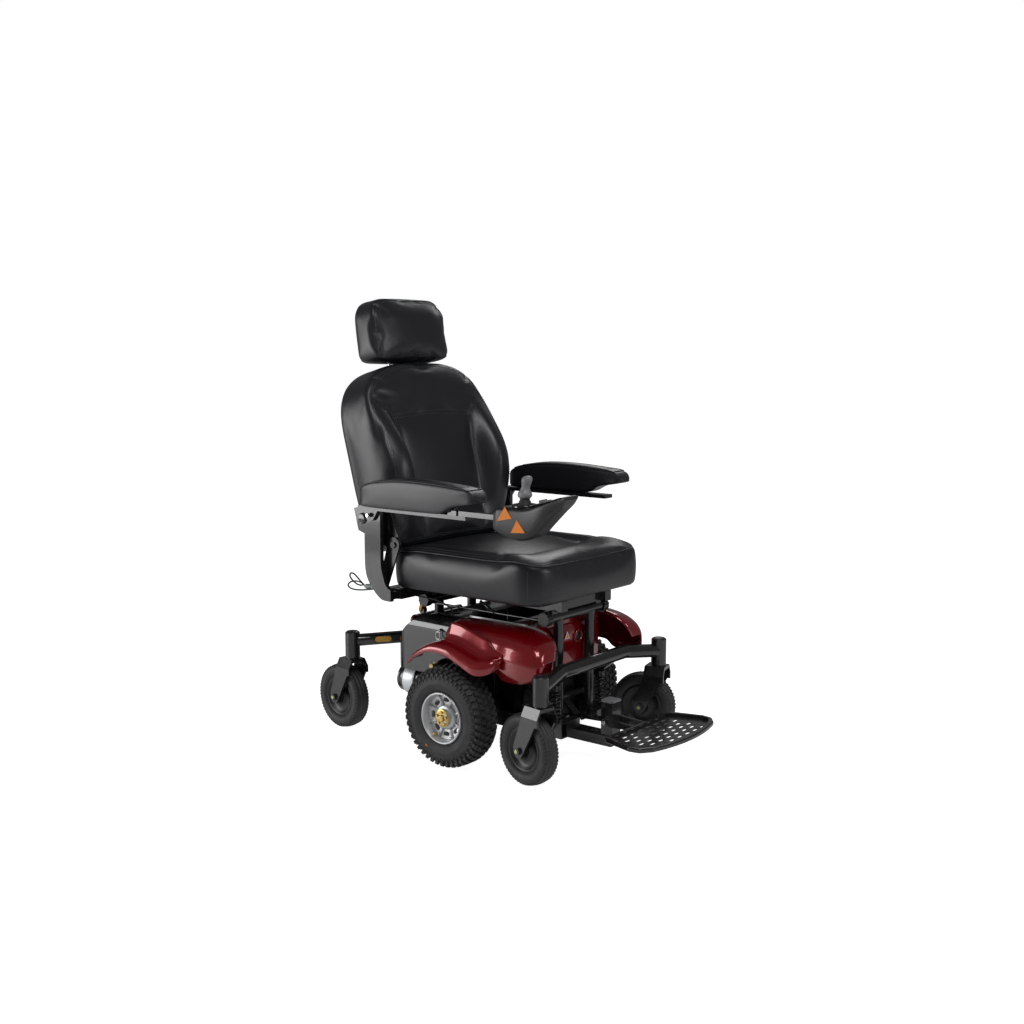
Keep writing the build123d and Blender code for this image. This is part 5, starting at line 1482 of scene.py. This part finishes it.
class WC_OT_stage(bpy.types.Operator):
    """Pale floor, soft studio lights and the camera"""

    bl_idname = "wheelchair.stage"
    bl_label = "Stage"

    def execute(self, context):
        settings = context.scene.wc_stage
        scene = context.scene
        camera = bpy.data.cameras.new("camera")
        camera.lens = 44.775
        camera.sensor_width = 36
        eye = bpy.data.objects.new("camera", camera)
        scene.collection.objects.link(eye)
        eye.location = (-2.6040, -2.0923, 1.0515)
        aim = Vector((-0.05911, -0.03378, 0.63163)) - eye.location
        eye.rotation_euler = aim.to_track_quat("-Z", "Y").to_euler()
        scene.camera = eye
        world = bpy.data.worlds.new("studio")
        world.use_nodes = True
        back = world.node_tree.nodes["Background"]
        back.inputs["Color"].default_value = (1, 1, 1, 1)
        path = world.node_tree.nodes.new("ShaderNodeLightPath")
        strength = math_node(world.node_tree, "MULTIPLY", path.outputs["Is Camera Ray"], 0.86)
        strength = math_node(world.node_tree, "ADD", strength, 0.14)
        world.node_tree.links.new(strength, back.inputs["Strength"])
        scene.world = world
        floor = Soup()
        r = settings.floor / MM / 2
        floor.add([(-r, -r, -0.5), (r, -r, -0.5), (r, r, -0.5), (-r, r, -0.5)], [(0, 1, 2, 3)])
        pale = material("floor_white", (0.93, 0.93, 0.93), 0.42, grain=60, bump=0.01, wear=0.1)
        glow = pale.node_tree.nodes["Principled BSDF"]
        glow.inputs["Emission Color"].default_value = (1, 1, 1, 1)
        seen = pale.node_tree.nodes.new("ShaderNodeLightPath").outputs["Is Camera Ray"]
        shine = math_node(pale.node_tree, "MULTIPLY", seen, 0.85)
        pale.node_tree.links.new(
            math_node(pale.node_tree, "ADD", shine, 0.08), glow.inputs["Emission Strength"]
        )
        ground = floor.object("floor", pale, smooth=False)
        lights = (
            ("key", (-1.4, -1.6, 3.2), 1.3, 0.26), ("rim", (2.4, 1.2, 2.4), 1.2, 0.10),
            ("side", (-2.6, 2.5, 1.0), 1.7, 0.32), ("front", (0.6, -3.2, 1.6), 1.0, 0.12),
        )
        for name, spot, size, share in lights:
            lamp = bpy.data.lights.new(name, "AREA")
            lamp.energy = settings.key * share
            lamp.size = size
            lamp.color = (1.0, 1.0, 1.0)
            obj = bpy.data.objects.new(name, lamp)
            obj.location = spot
            obj.rotation_euler = (Vector((0, 0, 0.55)) - Vector(spot)).to_track_quat("-Z", "Y").to_euler()
            scene.collection.objects.link(obj)
        scene.view_settings.view_transform = "Standard"
        return {"FINISHED"}


# ---------------------------------------------------------------- panel and start
STEPS = ["stage", "lead", "cushions", "tyres", "wheel_trim", "covers", "control", "details", "finishes"]


class WC_PT_panel(bpy.types.Panel):
    """Buttons and sizes for each group of pieces"""

    bl_idname = "WC_PT_panel"
    bl_label = "Power wheelchair"
    bl_space_type = "VIEW_3D"
    bl_region_type = "UI"
    bl_category = "Wheelchair"

    def draw(self, context):
        for name in SETTINGS:
            box = self.layout.box()
            values = getattr(context.scene, name)
            for key in values.__annotations__:
                box.prop(values, key)
        for step in STEPS:
            self.layout.operator(f"wheelchair.{step}")


SETTINGS = {
    "wc_cushions": CushionSettings, "wc_stitches": StitchSettings, "wc_tyres": TyreSettings,
    "wc_covers": CoverSettings, "wc_lead": LeadSettings, "wc_stage": StageSettings,
}
OPERATORS = [WC_OT_stage, WC_OT_lead, WC_OT_cushions, WC_OT_tyres, WC_OT_wheel_trim, WC_OT_covers,
WC_OT_control,
             WC_OT_details, WC_OT_finishes]


def register():
    for cls in [*SETTINGS.values(), *OPERATORS, WC_PT_panel]:
        bpy.utils.register_class(cls)
    for name, cls in SETTINGS.items():
        setattr(bpy.types.Scene, name, PointerProperty(type=cls))


def unregister():
    for name in SETTINGS:
        delattr(bpy.types.Scene, name)
    for cls in [WC_PT_panel, *OPERATORS[::-1], *list(SETTINGS.values())[::-1]]:
        bpy.utils.unregister_class(cls)


def main():
    for name in ("Cube", "Light", "Camera"):
        if name in bpy.data.objects:
            bpy.data.objects.remove(bpy.data.objects[name])
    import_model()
    register()
    for step in STEPS:
        getattr(bpy.ops.wheelchair, step)()
    bpy.context.view_layer.update()


if __name__ == "__main__":
    main()
